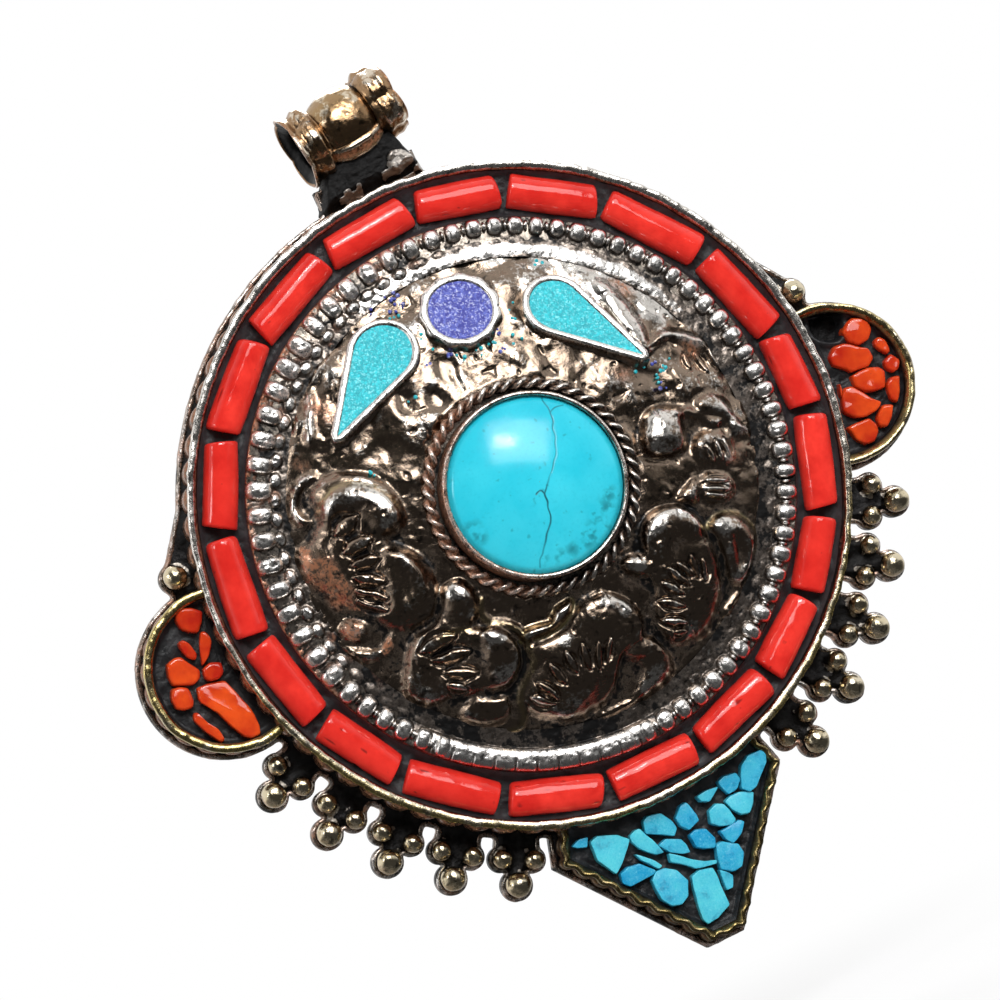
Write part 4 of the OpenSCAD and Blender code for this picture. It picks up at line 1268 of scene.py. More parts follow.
def rim_piece():
    steps = RIM_FLUTES * FLUTE_STEPS
    turn = all_round(steps)
    flutes = fluting(np.arange(steps) / FLUTE_STEPS, 1.0)
    circle = flat(*at(RIM_R, turn))
    wave = ripples(circle, 2.2, seed=31)
    dent = ripples(circle, 0.8, seed=35)
    foot = RIM_R - FLUTE_DEPTH
    out = foot + (RIM_OUT_R - foot) * flutes
    crest = RIM_R + 0.02 + 0.10 * dent + 0.05 * flutes
    inner = RIM_IN_R - 0.04 * np.abs(wave)
    broad = 0.48 + 0.14 * around(turn, RIM_TOP_PX, RIM_TOP, 70, 30)
    broad = broad + 0.16 * around(turn, RIM_LOW_PX, RIM_TOP, 40, 30) + 0.06 * dent
    top = RIM_TOP - 0.02 - 0.10 * np.abs(wave)
    # How far out, how high and how worn: up the fluted side, over the crest and down inside
    rows = [
        (out, PLATE_T, 0.25), (out, PLATE_T + 0.5, 0.55), (out, PLATE_T + 1.6, 0.6),
        (out - 0.03, PLATE_T + 2.2, 0.5), (foot + 0.6 * (out - foot), PLATE_T + 2.5, 0.2),
        (foot + 0.1, PLATE_T + 2.62, 0.0), (crest - 0.2, PLATE_T + 2.66, 0.1),
        (crest, top - 0.35, 0.75), (crest + 0.01, top - 0.2, 1.0),
        (crest - 0.05, top - 0.06 + 0.03 * dent, 1.0),
        (crest - 0.15, top + 0.02 * dent, 1.0), (crest - broad + 0.10, top - 0.05 + 0.04 * dent, 1.0),
        (crest - broad, top - 0.16 + 0.05 * wave, 0.55), (crest - broad - 0.05, top - 0.28, 0.2),
        (inner + 0.05, top - 0.42, 0.0), (inner, top - 0.45, 0.0),
        (inner, RESIN_W, 0.0), (inner, PLATE_T, 0.0),
    ]
    r, w, worn = columns(rows, steps)
    warm = np.zeros_like(worn)
    gold = np.zeros_like(worn)
    brass = around(turn, RIM_BRASS_PX, RIM_TOP, 62, 30)[:, None]
    worn[:, RIM_SIDE] *= 0.15 + 0.85 * flutes[:, None]
    warm[:, RIM_BUMPS] = 0.75 * (flutes[:, None] > 0.35)
    warm[:, RIM_INNER_EDGE] = 0.7 * (1 - brass)
    gold[:, RIM_CREST] = brass
    gold[:, RIM_CREST_END] = 0.4 * brass
    form = Form()
    form.grid(ring_points(turn, r, np.minimum(w, RIM_TOP)), close_rows=True, close_columns=True, worn=worn,
              warm=warm, gold=gold)
    rim = form.object("rim_wall", RIM_METAL)
    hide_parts("rim_bezel")


def coral_places():
    """The turn and length of each tube round the channel, going to the right."""
    total = sum(CORAL_SHARES)
    passed = 0
    for share in CORAL_SHARES:
        span = 360 * share / total
        turn = CORAL_START - 360 * passed / total - span / 2
        length = 2 * (CORAL_RING_R - CORAL_R) * math.tan(math.radians(span / 2)) - CORAL_GAP
        yield turn, length
        passed += share


TUBE_ROUND = 40
TUBE_MIDDLE = 24
TUBE_END = np.array([0.0, 0.003, 0.02, 0.05, 0.09])


def coral_piece():
    """The tubes, each with its own slanted ends, bevel, taper, bend, shade and pits."""
    form = Form()
    luck = np.random.default_rng(19)
    s = np.concatenate([TUBE_END, np.linspace(0.13, 0.87, TUBE_MIDDLE), 1 - TUBE_END[::-1]])
    bow = 1 - (2 * s - 1) ** 2
    a = angles(TUBE_ROUND)
    for turn, length in coral_places():
        slant_a, slant_b = luck.uniform(-0.16, 0.16, 2)
        taper = luck.uniform(-0.10, 0.10)
        bevel = luck.uniform(0.12, 0.30)
        sag = luck.uniform(-0.10, 0.10)
        shade = luck.uniform(0, 1)
        seed = int(luck.integers(1000))
        from_end = np.minimum(s, 1 - s) * length
        r = CORAL_R * (0.95 + taper * (s - 0.5)) * (0.965 + 0.035 * bow)
        r = r - bevel * (1 - roundover(from_end, bevel * 1.3))
        r[0] = 0
        r[-1] = 0
        across = np.cos(a) * r[:, None]
        up = np.sin(a) * r[:, None]
        slant = slant_a * np.clip(1 - s * 2, 0, 1)[:, None] + slant_b * np.clip(s * 2 - 1, 0, 1)[:, None]
        x = (s[:, None] - 0.5) * length - slant * across
        local = np.stack([x, across, up], axis=-1)
        nudge = 0.040 * ripples(local + seed, 1.9, seed=2) + 0.003 * lumps(local + seed, 0.3, seed=6)
        pits = step_up(lumps(local * np.array([0.5, 1.6, 1.6]) + seed, 0.55, seed=8), 0.70, 0.92)
        swell = 1 + (nudge - 0.05 * pits) / CORAL_R
        across = across * swell + 0.4 * sag * bow[:, None]
        away = np.array(at(1, turn))
        u = away[0] * (CORAL_RING_R + across) + away[1] * x
        v = away[1] * (CORAL_RING_R + across) - away[0] * x
        form.grid(raised(u, v, CORAL_W + up * swell), close_columns=True, shade=shade, pit=pits)
    tubes = form.object("coral_ring", CORAL)
    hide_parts("coral_tubes")


CHANNEL_STEPS = 1080
CHANNEL_RINGS = 34
CHANNEL_ROOM = 0.4


def channel_piece():
    """The black bed: uneven, and drawn up against the walls."""
    r = np.linspace(SKIRT_R, RIM_IN_R, CHANNEL_RINGS)
    u, v = ring_places(all_round(CHANNEL_STEPS), r)
    points = flat(u, v)
    edge = np.minimum(r - SKIRT_R, RIM_IN_R - r)
    height = RESIN_W + 0.10 + 0.13 * ripples(points, 1.3, seed=41) + 0.05 * ripples(points, 0.35, seed=44)
    height = np.minimum(height + 0.50 * np.exp(-edge / 0.22), RIM_TOP - CHANNEL_ROOM)
    form = Form()
    form.grid(raised(u, v, height), close_rows=True, worn=np.exp(-edge / 0.3))
    bed = form.object("channel_bed", RESIN, outward=False)
    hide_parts("channel_resin")


# The centre stone, its cup and the rope wire. A crack goes with its half width in millimetres, a dark
# patch with its radius.

CRACKS = [
    ([(548, 390), (546, 397), (552, 410), (555, 430), (556, 450), (552, 470), (544, 494)], 0.0975),
    ([(544, 494), (547, 505), (551, 517), (549, 528), (548, 534), (545, 548), (543, 566)], 0.1105),
    ([(544, 494), (540, 491), (536, 494)], 0.091),
    ([(552, 410), (559, 405), (567, 402)], 0.0585),
]
DARK_PATCHES = [((609, 494), 0.8), ((608, 507), 0.9), ((602, 521), 1.0), ((595, 533), 0.9), ((590, 541), 0.6),
           ((574, 549), 0.6), ((562, 556), 0.6), ((474, 530), 0.8), ((481, 537), 0.6), ((543, 560), 0.6)]
STONE_STEPS = 840
STONE_RINGS = 108
GIRDLE_W = SEAT_W + 1.7
CRACK_W = STONE_TOP - 0.2
DARK_PATCH_W = GIRDLE_W + 1.0
CUP_STEPS = 360
CUP_COPPER_PX = (446, 520)
ROPE_STEPS = 960
ROPE_ROUND = 14
ROPE_TWISTS = 24
ROPE_COPPER_PX = (440, 520)
STRAND_SHARE = 0.56


def cabochon_piece():
    """A polished cap of a ball, drawn in over its girdle, with hair cracks and dark patches."""
    rise = STONE_TOP - GIRDLE_W
    ball_r = (STONE_R ** 2 + rise ** 2) / (2 * rise)
    share = np.linspace(0.004, 1.0, STONE_RINGS)
    r = STONE_R * share
    w = STONE_TOP - ball_r + np.sqrt(ball_r ** 2 - r ** 2) - 0.14 * step_up(share, 0.9, 1.0) ** 2
    r = np.append(r, [STONE_R, STONE_R])
    w = np.append(w, [GIRDLE_W - 0.5, SEAT_W])
    u, v = ring_places(all_round(STONE_STEPS), r)
    places = listed(u, v)
    points = flat(*places.T)
    wobble = places + 0.09 * np.stack([lumps(points, 0.5, 51), lumps(points, 0.5, 52)], axis=1)
    patchy = np.clip(0.75 + 0.35 * lumps(points, 0.9, 53), 0.3, 1)
    crack = np.zeros(len(places))
    for line, width in CRACKS:
        d, _ = line_distance(wobble, smooth_line(from_photo(line, CRACK_W)))
        crack = np.maximum(crack, hump(d, width) * patchy)
    torn = step_up(ripples(points, 0.5, seed=55), -0.25, 0.45)
    # Darker patches: a few at random over the stone, and more along its lower edge.
    smudge = 0.5 * step_up(ripples(points, 0.45, seed=57), 0.62, 0.9)
    for pixel, size in DARK_PATCHES:
        d = np.hypot(*(places - from_photo([pixel], DARK_PATCH_W)[0]).T)
        smudge = np.maximum(smudge, 0.85 * np.clip(1.2 - d / size, 0, 1) * torn)
    crack = crack.reshape(u.shape)
    form = Form()
    form.grid(raised(u, v, w - 0.03 * crack), close_rows=True, crack=crack, smudge=smudge.reshape(u.shape))
    stone = form.object("turquoise_stone", CABOCHON, outward=False)
    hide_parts("turquoise_cabochon")


def cup_piece():
    turn = all_round(CUP_STEPS)
    wave = ripples(flat(*at(CUP_R, turn)), 2.0, seed=61)
    top = CUP_TOP - 0.04 - 0.07 * np.abs(wave)
    inner = CUP_R - CUP_WALL
    # How far out, how high and how worn: up the outer side, over the edge and down inside
    rows = [
        (CUP_R, SEAT_W, 0.05), (CUP_R, SEAT_W + 0.9, 0.3), (CUP_R - 0.03, top - 0.35, 0.5),
        (CUP_R - 0.06 + 0.02 * wave, top - 0.14, 0.75), (CUP_R - 0.15, top - 0.02, 0.95),
        (CUP_R - 0.24, top, 1.0),
        (inner + 0.03, top - 0.06, 0.8), (inner - 0.02, top - 0.16, 0.5), (inner, top - 0.5, 0.2),
        (inner, SEAT_W, 0.0),
    ]
    r, w, worn = columns(rows, CUP_STEPS)
    warm = 0.7 * around(turn, CUP_COPPER_PX, CUP_TOP, 50, 40)[:, None]
    form = Form()
    form.grid(ring_points(turn, r, w), close_rows=True, worn=worn, warm=warm)
    cup = form.object("stone_cup", CUP_METAL)
    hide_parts("cabochon_cup")


def rope_piece():
    """Two wires twisted round each other and laid round the cup."""
    form = Form()
    turn = all_round(ROPE_STEPS)
    wire = ROPE_R * STRAND_SHARE
    lay = ROPE_R - wire
    middle_w = heights_of("rope_wire")[1] - ROPE_R
    a = angles(ROPE_ROUND)
    warm = 0.6 * around(turn, ROPE_COPPER_PX, SEAT_W, 60, 30)[:, None]
    for strand in (0, 1):
        twist = np.radians(turn)[:, None] * ROPE_TWISTS + strand * np.pi
        out = lay * np.cos(twist) + wire * np.cos(a)
        up = lay * np.sin(twist) + wire * np.sin(a)
        worn = np.clip((1.1 * np.hypot(out, up) + 0.3 * up) / ROPE_R - 0.35, 0, 1)
        form.grid(ring_points(turn, ROPE_RING_R + out, middle_w + up), close_rows=True, close_columns=True,
                  worn=worn, warm=warm)
    rope = form.object("twisted_wire", CUP_METAL)
    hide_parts("rope_wire")


# The three inlays on the dome: the turn at which each stands, and its place as a share of the dome's radius.
# A drop goes on with the direction of its point, its round end's half width, and its point's reach.

INLAY_WALL = 0.5
INLAY_H = 0.8
INLAY_ROOT = 0.9
INLAY_SINK = 0.16
INLAY_RINGS = 26
SCALLOP_PITCH = 1.25
LAPIS = (-4.3, 0.77)
LAPIS_R = 2.3
LEFT_DROP = (22, 0.80, 217, 2.1, 7.0)
RIGHT_DROP = (-34, 0.755, -57, 1.95, 7.2)


def drop_line(half, reach, aim):
    """A round end whose sides run on, straight, to a point."""
    tangent = math.acos(half / reach)
    arc = half * unit_circle(np.linspace(tangent, 2 * np.pi - tangent, 40))
    c, s = math.cos(math.radians(aim)), math.sin(math.radians(aim))
    return np.vstack([[(reach, 0)], arc]) @ np.array([[c, s], [-s, c]])


def stand_on_dome(local, turn, share):
    """Places a form's own (right, up, out) points on the dome's skin, square to it."""
    r = share * DOME_R
    t = math.radians(turn)
    lean = -math.asin(r / SPHERE_R)
    spin = np.array([[math.cos(t), -math.sin(t), 0], [math.sin(t), math.cos(t), 0], [0, 0, 1]])
    tip = np.array([[1, 0, 0], [0, math.cos(lean), -math.sin(lean)], [0, math.sin(lean), math.cos(lean)]])
    whole = spin @ tip @ spin.T
    middle = np.array([*at(r, turn), float(dome_w(r))])
    return local @ whole.T + middle


def bezel_form(line, turn, share, scallop, seed):
    """A thin upstanding strip round an inlay, dressed over its edge, and how worn it is."""
    run = run_along(line)
    wave = ripples(flat(*line.T), 1.1, seed=seed)
    bumps = scallop * (0.5 + 0.5 * np.cos(run / run[-1] * 2 * np.pi * round(run[-1] / SCALLOP_PITCH)))
    top = INLAY_H - 0.05 + 0.05 * wave
    flare = 0.06 * wave + bumps
    # How far out, how high and how worn: up the outer side, over the edge and down inside
    rows = [
        (INLAY_WALL + 0.10 + 1.6 * bumps, -INLAY_ROOT, 0.1),
        (INLAY_WALL + 0.05 + 1.3 * bumps, top * 0.4, 0.45),
        (INLAY_WALL + flare, top - 0.16, 0.85), (INLAY_WALL - 0.06 + flare * 0.8, top - 0.04, 1.0),
        (INLAY_WALL * 0.5, top, 1.0), (0.06, top - 0.04, 1.0), (-0.04 + 0.03 * wave, top - 0.12, 0.7),
        (0.0, -INLAY_ROOT, 0.2),
    ]
    out, w, worn = columns(rows, len(line))
    return stand_on_dome(sweep(line, out, w), turn, share), worn


def fan(line, rings):
    """The u and v of a sheet that fills a closed line, from its middle outwards."""
    middle = line.mean(axis=0)
    places = middle + (line - middle)[:, None, :] * np.linspace(0.004, 1.0, rings)[:, None]
    return places[..., 0], places[..., 1]


def inlay_pair(name, node_name, line, turn, share, stone, slot, seed, scallop=0.0):
    line = resample(line, 0.10)
    form = Form()
    p, worn = bezel_form(line, turn, share, scallop, seed)
    form.grid(p, close_rows=True, worn=worn)
    strip = form.object(name + "_strip", SILVER_METAL)
    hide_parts(node_name + "_bezel")
    form = Form()
    u, v = fan(line, INLAY_RINGS)
    top = INLAY_H - INLAY_SINK + 0.02 * ripples(flat(u, v), 0.9, seed=seed)
    form.grid(stand_on_dome(raised(u, v, top), turn, share), close_rows=True)
    filling = form.object(name + "_stone", stone, outward=False)
    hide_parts(node_name + "_inlay")


def inlay_pieces():
    circle = LAPIS_R * unit_circle(angles(80))
    inlay_pair("lapis", "lapis", circle, *LAPIS, LAPIS_STONE, "lapis_stone", seed=71,
               scallop=0.15)
    for word, (turn, share, aim, half, reach), seed in (("left", LEFT_DROP, 73), ("right", RIGHT_DROP, 75)):
        line = drop_line(half, reach, aim)
        inlay_pair(word + "_drop", word + "_teardrop", line, turn, share, INLAY_STONE, "inlay_stone", seed)


# The stones in the cells, as pixels of the photograph

TRIANGLE_CHIPS = [
    [(571.5, 846.5), (576, 842), (580, 839), (588.5, 837.5), (587.5, 847), (577, 848)],
    [(590.5, 842), (597, 836), (606.5, 835), (618, 835), (630.5, 839.5), (628.5, 847.5), (623, 862.5),
     (616.5, 874), (606.5, 867), (598, 861), (594, 851)],
    [(629.5, 836), (634.5, 830.5), (639.5, 828.5), (645.5, 834.5), (653, 840), (664.5, 852.5),
     (657.5, 854.5), (648, 852), (639.5, 848.5), (632, 842)],
    [(643.5, 821), (647, 816), (661, 813), (672.5, 821), (677.5, 828), (675, 836), (662.5, 834.5),
     (646, 834)],
    [(676, 818), (680, 806), (686, 802), (691, 808), (696.5, 814.5), (699, 821), (689.5, 829.5),
     (681, 826)],
    [(697, 796.5), (706, 790.5), (719, 786.5), (716, 793), (710, 801.5), (701, 801.5)],
    [(718, 782), (724, 775.5), (735.5, 772.5), (741, 779.5), (738, 788), (729, 794), (721, 787)],
    [(741.5, 765), (747.5, 755.5), (760.5, 749.5), (766, 753), (767, 761.5), (763, 771.5), (757, 786.5),
     (750.5, 791.5), (741.5, 788), (740.5, 774.5)],
    [(725, 801.5), (730.5, 795.5), (739, 792), (754, 791.5), (753.5, 803), (750.5, 813), (741.5, 814.5),
     (733, 809.5)],
    [(709, 810.5), (716, 803.5), (724, 803.5), (730.5, 810.5), (736.5, 819.5), (733, 824.5), (721, 826),
     (711, 823.5)],
    [(720, 831), (727.5, 827), (739, 819.5), (745, 821), (741.5, 833), (733, 843.5), (726.5, 839.5)],
    [(689.5, 835.5), (696, 829.5), (706, 828), (716, 838.5), (716, 847.5), (706, 848.5), (696, 847)],
    [(658.5, 846), (666, 838.5), (681, 839.5), (687.5, 844.5), (691, 852), (684.5, 853.5), (671, 852.5)],
    [(668.5, 853.5), (681, 856), (694, 860), (706, 861), (717.5, 860), (717.5, 863.5), (704, 867),
     (696, 868.5), (686, 864.5), (671, 862.5)],
    [(716.5, 844.5), (722.5, 841), (739, 843.5), (744.5, 852), (742.5, 866), (734, 871.5),
     (721.5, 869.5), (717.5, 857.5)],
    [(720, 870), (727.5, 871.5), (733, 875), (733.5, 887.5), (727.5, 890), (724, 882.5)],
    [(691.5, 876.5), (699, 870), (712.5, 868), (716.5, 874), (730, 904), (719, 917.5), (709, 924),
     (703.5, 920), (698.5, 905.5), (694, 889)],
    [(652, 880), (656, 871.5), (666, 868), (677.5, 870), (688.5, 880), (688.5, 896), (682.5, 904),
     (672.5, 906), (662, 900), (656, 889)],
    [(620.5, 874), (627, 867), (639.5, 863.5), (656, 870), (654.5, 874), (641, 881), (631, 886.5),
     (623, 883.5)],
    [(635.5, 854.5), (643, 856), (656, 861), (662.5, 866), (659.5, 869.5), (651, 865), (641, 860)],
]

LEFT_EAR_CHIPS = [
    [(175.5, 613.5), (180.5, 608), (191, 607), (202.5, 611), (202.5, 621), (199, 632), (191, 632),
     (182, 629.5), (176, 621)],
    [(200.5, 631.5), (205, 631), (210.5, 636.5), (212.5, 643), (210, 654.5), (203, 666), (201, 657),
     (199.5, 643)],
    [(177.5, 643), (182, 639.5), (189.5, 643), (198, 654.5), (196.5, 660), (188.5, 658), (180.5, 649.5)],
    [(166.5, 664.5), (174, 658), (180.5, 656.5), (188.5, 662), (200.5, 669.5), (200.5, 678.5),
     (194.5, 684.5), (183, 685.5), (173, 685.5), (168, 677.5)],
    [(203, 668.5), (210, 662), (221.5, 661.5), (224, 672), (220, 678.5), (211, 681), (205, 677.5)],
    [(171.5, 689), (179.5, 686.5), (188.5, 687.5), (194.5, 699), (194, 706.5), (184.5, 710),
     (176, 708.5), (171, 699)],
    [(197, 687.5), (207.5, 683.5), (225.5, 680), (236.5, 691.5), (251, 708), (259.5, 724.5),
     (261, 734.5), (252, 738.5), (244.5, 736.5), (231.5, 726), (219, 713), (199.5, 701.5), (198, 694)],
    [(194, 713), (197, 711), (207.5, 722), (219, 729.5), (225.5, 740), (221.5, 743), (207.5, 733.5),
     (194, 720.5)],
]

RIGHT_EAR_CHIPS = [
    [(843, 331.5), (846.5, 322.5), (852.5, 317.5), (861.5, 317), (869.5, 321), (872.5, 329),
     (869.5, 339), (859, 345), (849, 341.5)],
    [(874.5, 340.5), (879.5, 335.5), (886, 339), (891, 349.5), (889, 354), (882, 350.5), (875.5, 345.5)],
    [(884, 361), (891, 353), (900.5, 359.5), (900, 368.5), (894, 372), (887, 368.5)],
    [(829.5, 357), (835, 345.5), (844, 343), (851.5, 344), (859, 346.5), (868, 348), (874, 357),
     (869.5, 366), (859, 369.5), (851.5, 372), (846.5, 368.5), (833.5, 366)],
    [(851.5, 376), (859, 371), (869.5, 367), (879.5, 366), (886, 369.5), (886.5, 386.5), (877, 390),
     (866.5, 391.5), (856.5, 386.5)],
    [(887, 382.5), (892, 376), (901, 375), (901, 389), (898.5, 402), (892, 399), (888.5, 391.5)],
    [(842.5, 395), (845, 387.5), (852.5, 385.5), (861.5, 391.5), (872, 398), (882, 401.5), (877, 410.5),
     (866.5, 416), (856.5, 417), (844, 412)],
    [(879, 413), (883.5, 404), (893.5, 404), (893, 415.5), (888.5, 426.5), (881, 426), (877.5, 418)],
    [(847.5, 427), (856.5, 422.5), (869.5, 417.5), (878, 423.5), (880, 432), (875.5, 441),
     (866.5, 444.5), (856.5, 438.5)],
    [(839.5, 382.5), (842, 387.5), (842, 398), (840, 392.5)],
]

POCKET = [(809.5, 311), (824.5, 308), (835, 308), (841, 316), (843, 326.5), (842, 336.5), (836, 340.5),
          (821, 339.5), (812.5, 332.5), (809.5, 321)]


# The ears and the triangle

WALL_STEP = 0.12
WALL_FOOT = -0.40
WALL_SIDE = slice(0, 4)
WALL_BUMPS = slice(0, 3)
WALL_CREST = slice(5, 10)
CHIP_STEP = 0.09
CHIP_EASE = 0.06
SHOULDER_IN = 1.0
TRIANGLE_EASE = 10


def ear_middle(side):
    return np.array(at(EAR_MIDDLE_R, side * EAR_TURN))


def ear_arc(side):
    """The part of the ear's outline that lies outside the rim, counter-clockwise."""
    ring = ear_middle(side) + EAR_R * unit_circle(np.radians(np.arange(0, 360, 0.5)))
    outside = np.hypot(*ring.T) > RIM_R - 0.05
    start = int(np.argmax(outside & ~np.roll(outside, 1)))
    order = np.roll(np.arange(len(ring)), -start)
    return resample(ring[order][outside[order]], WALL_STEP, closed=False)


def cell_wall(line, top, seed, pitch=FLUTE_PITCH, sway=0.0, broad=0.42):
    """A fluted wall on a line along its outer edge, with a narrow rolled crest that sways with the flutes."""
    run = run_along(line)
    count = max(1, round(run[-1] / pitch))
    flutes = fluting(run, run[-1] / count)
    wave = ripples(flat(*line.T), 1.6, seed=seed)
    dent = ripples(flat(*line.T), 0.5, seed=seed + 3)
    bulge = (0.02 - WALL_FOOT) * flutes
    out = WALL_FOOT + bulge
    swing = sway * (0.5 - 0.5 * np.cos(2 * np.pi * run / run[-1] * count))
    lip = -0.04 - swing + 0.07 * wave
    thin = broad + 0.06 * dent
    high = top - 0.03 - 0.10 * np.abs(wave)
    # How far out, how high and how worn: up the fluted side, over the crest and down inside
    rows = [
        (out, PLATE_T, 0.3), (out, PLATE_T + 0.8, 0.5),
        (WALL_FOOT + 0.7 * bulge, PLATE_T + 1.3, 0.35),
        (WALL_FOOT + 0.05, PLATE_T + 1.45, 0.05), (lip - 0.12, high - 0.55, 0.2), (lip, high - 0.32, 0.7),
        (lip - 0.03, high - 0.12 + 0.03 * dent, 0.9), (lip - 0.13, high + 0.02 * dent, 1.0),
        (lip - thin * 0.75, high - 0.03 + 0.03 * dent, 0.8), (lip - thin, high - 0.16, 0.4),
        (-CELL_WALL, high - 0.45, 0.1), (-CELL_WALL, PLATE_T, 0.0),
    ]
    out, w, worn = columns(rows, len(line))
    warm = np.zeros_like(worn)
    gold = np.zeros_like(worn)
    worn[:, WALL_SIDE] *= 0.2 + 0.8 * flutes[:, None]
    warm[:, WALL_BUMPS] = 0.7 * (flutes[:, None] > 0.35)
    gold[:, WALL_CREST] = 1.0
    return sweep(line, out, w, closed=False), worn, warm, gold


def ear_bed_line(side):
    """The ear's inner outline: its wall, and the rim where the rim cuts it off."""
    middle = ear_middle(side)
    ray = unit_circle(angles(150))
    along = ray @ middle
    inside = along ** 2 - (middle @ middle - RIM_R ** 2)
    to_rim = -along - np.sqrt(np.maximum(inside, 0))
    wall = EAR_R - CELL_WALL + 0.05
    reach = np.where((inside > 0) & (along < 0), np.minimum(wall, to_rim), wall)
    return middle + ray * reach[:, None]


def bed_form(line, seed, rings=40):
    """An uneven bed of resin inside a closed line, drawn up at its edge."""
    u, v = fan(line, rings)
    points = flat(u, v)
    w = BED_W + 0.10 * ripples(points, 1.2, seed=seed) + 0.05 * ripples(points, 0.3, seed=seed + 5)
    return raised(u, v, w + 0.35 * np.clip(np.linspace(0, 1, rings) - 0.93, 0, 1) / 0.07)


def chip_form(form, outline, low, high, soft, lean, seed, shade):
    """A broken chip: steep sides that flare downwards, edges rounded by soft, and a flat top that leans."""
    middle = outline.mean(axis=0)
    line = eased(resample(outline - middle, CHIP_STEP), int(soft / CHIP_EASE))
    size = np.hypot(*line.T).max()
    tall = high - low
    t = np.linspace(0, np.pi / 2, 5)
    flare = [-0.10 / size, -0.03 / size]
    inset = np.concatenate([flare, soft * (1 - np.cos(t)) / size, [0.45, 0.7, 0.88, 1.0]])
    rise = np.concatenate([[0, 0.45 * tall], tall - soft * (1 - np.sin(t)), [tall] * 4])
    u, v = (line[:, i, None] * (1 - inset) for i in (0, 1))
    slope = lean[0] * u + lean[1] * v - 0.5 * np.abs(lean[2] * u + lean[3] * v)
    p = raised(u, v, rise + slope * (rise / tall))
    rough = np.stack([lumps(p + seed, 0.7, k) for k in (1, 2, 3)], axis=-1)
    p += 0.05 * rough * (rise / tall)[:, None]
    p[..., :2] += middle
    p[..., 2] = np.minimum(p[..., 2] + low, high + 0.12)
    form.grid(p, close_rows=True, shade=shade, pit=0.0)


def chips_piece(name, node_name, outlines, material, soft, tilt, seed):
    """Chips on the outlines that the photograph shows, standing in the cell's resin."""
    form = Form()
    luck = np.random.default_rng(seed)
    low, high = heights_of(node_name)
    for pixels in outlines:
        top = high - luck.uniform(0, 0.18)
        outline = from_photo(pixels, top)
        size = np.hypot(*(outline - outline.mean(axis=0)).T).max()
        edge = min(soft, 0.35 * size)
        lean = luck.uniform(-tilt, tilt, 4)
        chip_form(form, outline, low, top, edge, lean, float(luck.integers(200)), luck.uniform(0, 1))
    chips = form.object(name, material)
    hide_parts(node_name)


def dig_pocket(bed):
    """The empty place in the right ear where a stone has fallen out."""
    outline = smooth_line(from_photo(POCKET, CELL_RESIN_W), closed=True)
    places = bed[..., :2].reshape(-1, 2)
    depth = depth_inside(places, outline).reshape(bed.shape[:2])
    bed[..., 2] -= 1.3 * step_up(depth, -0.05, 0.30)
    bed[..., 2] += 0.22 * hump(depth + 0.20, 0.35)


def ear_pieces(word, side, outlines, broad, brass):
    p, worn, warm, gold = cell_wall(ear_arc(side), EAR_TOP, seed=81 + side, broad=broad)
    form = Form()
    form.grid(p, close_columns=True, worn=worn, warm=warm, gold=gold * brass)
    wall = form.object(word + "_ear_wall", RIM_METAL)
    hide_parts(word + "_ear_bezel")
    form = Form()
    bed = bed_form(ear_bed_line(side), seed=90 + side)
    if side < 0:
        dig_pocket(bed)
    form.grid(bed, close_rows=True)
    base = form.object(word + "_ear_bed", RESIN, outward=False)
    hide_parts(word + "_ear_resin")
    chips_piece(word + "_ear_stones", word + "_ear_corals", outlines, CHIP_CORAL, soft=0.28,
                tilt=0.13, seed=101 + side)


def triangle_line():
    """The triangle's outer outline below the rim, counter-clockwise from its left shoulder."""
    inner = TRIANGLE_HALF - SHOULDER_IN
    rim_v = -math.sqrt((RIM_R - 0.1) ** 2 - inner ** 2)
    corners = np.array([
        (-inner, rim_v), (-TRIANGLE_HALF, SHOULDER_V), (-TIP_HALF, TIP_V),
        (TIP_HALF, TIP_V), (TRIANGLE_HALF, SHOULDER_V), (inner, rim_v),
    ])
    line = resample(corners, WALL_STEP, closed=False)
    for _ in range(TRIANGLE_EASE):
        line[1:-1] = 0.5 * line[1:-1] + 0.25 * (line[2:] + line[:-2])
    return line


def triangle_bed_line():
    """The triangle's inner outline: its wall, and the rim above it."""
    p = sweep(triangle_line(), [-CELL_WALL + 0.05], 0.0, closed=False)[:, 0, :2]
    p = p[np.hypot(*p.T) > RIM_R]
    t = np.linspace(math.atan2(*p[-1, ::-1]), math.atan2(*p[0, ::-1]), 40)[1:-1]
    return np.vstack([p, (RIM_R + 0.02) * unit_circle(t)])


def triangle_pieces():
    p, worn, warm, gold = cell_wall(triangle_line(), TRIANGLE_TOP, seed=111, pitch=1.5, sway=0.22)
    form = Form()
    form.grid(p, close_columns=True, worn=worn * 0.8, warm=warm * 0.4, gold=gold * 0.18)
    wall = form.object("triangle_wall", TRIANGLE_METAL)
    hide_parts("triangle_bezel")
    form = Form()
    form.grid(bed_form(resample(triangle_bed_line(), 0.15), seed=113, rings=60), close_rows=True)
    bed = form.object("triangle_bed", RESIN, outward=False)
    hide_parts("triangle_resin")
    chips_piece("triangle_stones", "triangle_turquoise", TRIANGLE_CHIPS, CHIP_TURQUOISE,
                soft=0.09, tilt=0.08, seed=117)


# Granules

def ball(middle, radius, seed, rounds=28, rows=18):
    """A lumpy ball with its foot drawn down straight, and its mark: painted highlight on top, painted shade
    below.
    """
    a = angles(rounds)[:, None]
    t = np.linspace(0.02, np.pi * 0.80, rows)
    ring = np.append(np.sin(t), 0.62)
    p = raised(np.cos(a) * ring, np.sin(a) * ring, np.append(np.cos(t), -1.0))
    lump = 1 + 0.050 * lumps(p + seed, 0.7, seed=1) + 0.022 * lumps(p + seed, 0.26, seed=2)
    p = p * lump[..., None]
    # Painted light and shade: bright where the ball faces out of the plate, dark at its sides and foot.
    worn = np.clip(0.45 + 0.75 * p[..., 2] + 0.25 * lumps(p + seed, 0.45, seed=3), 0, 1)
    return middle + p * radius, worn


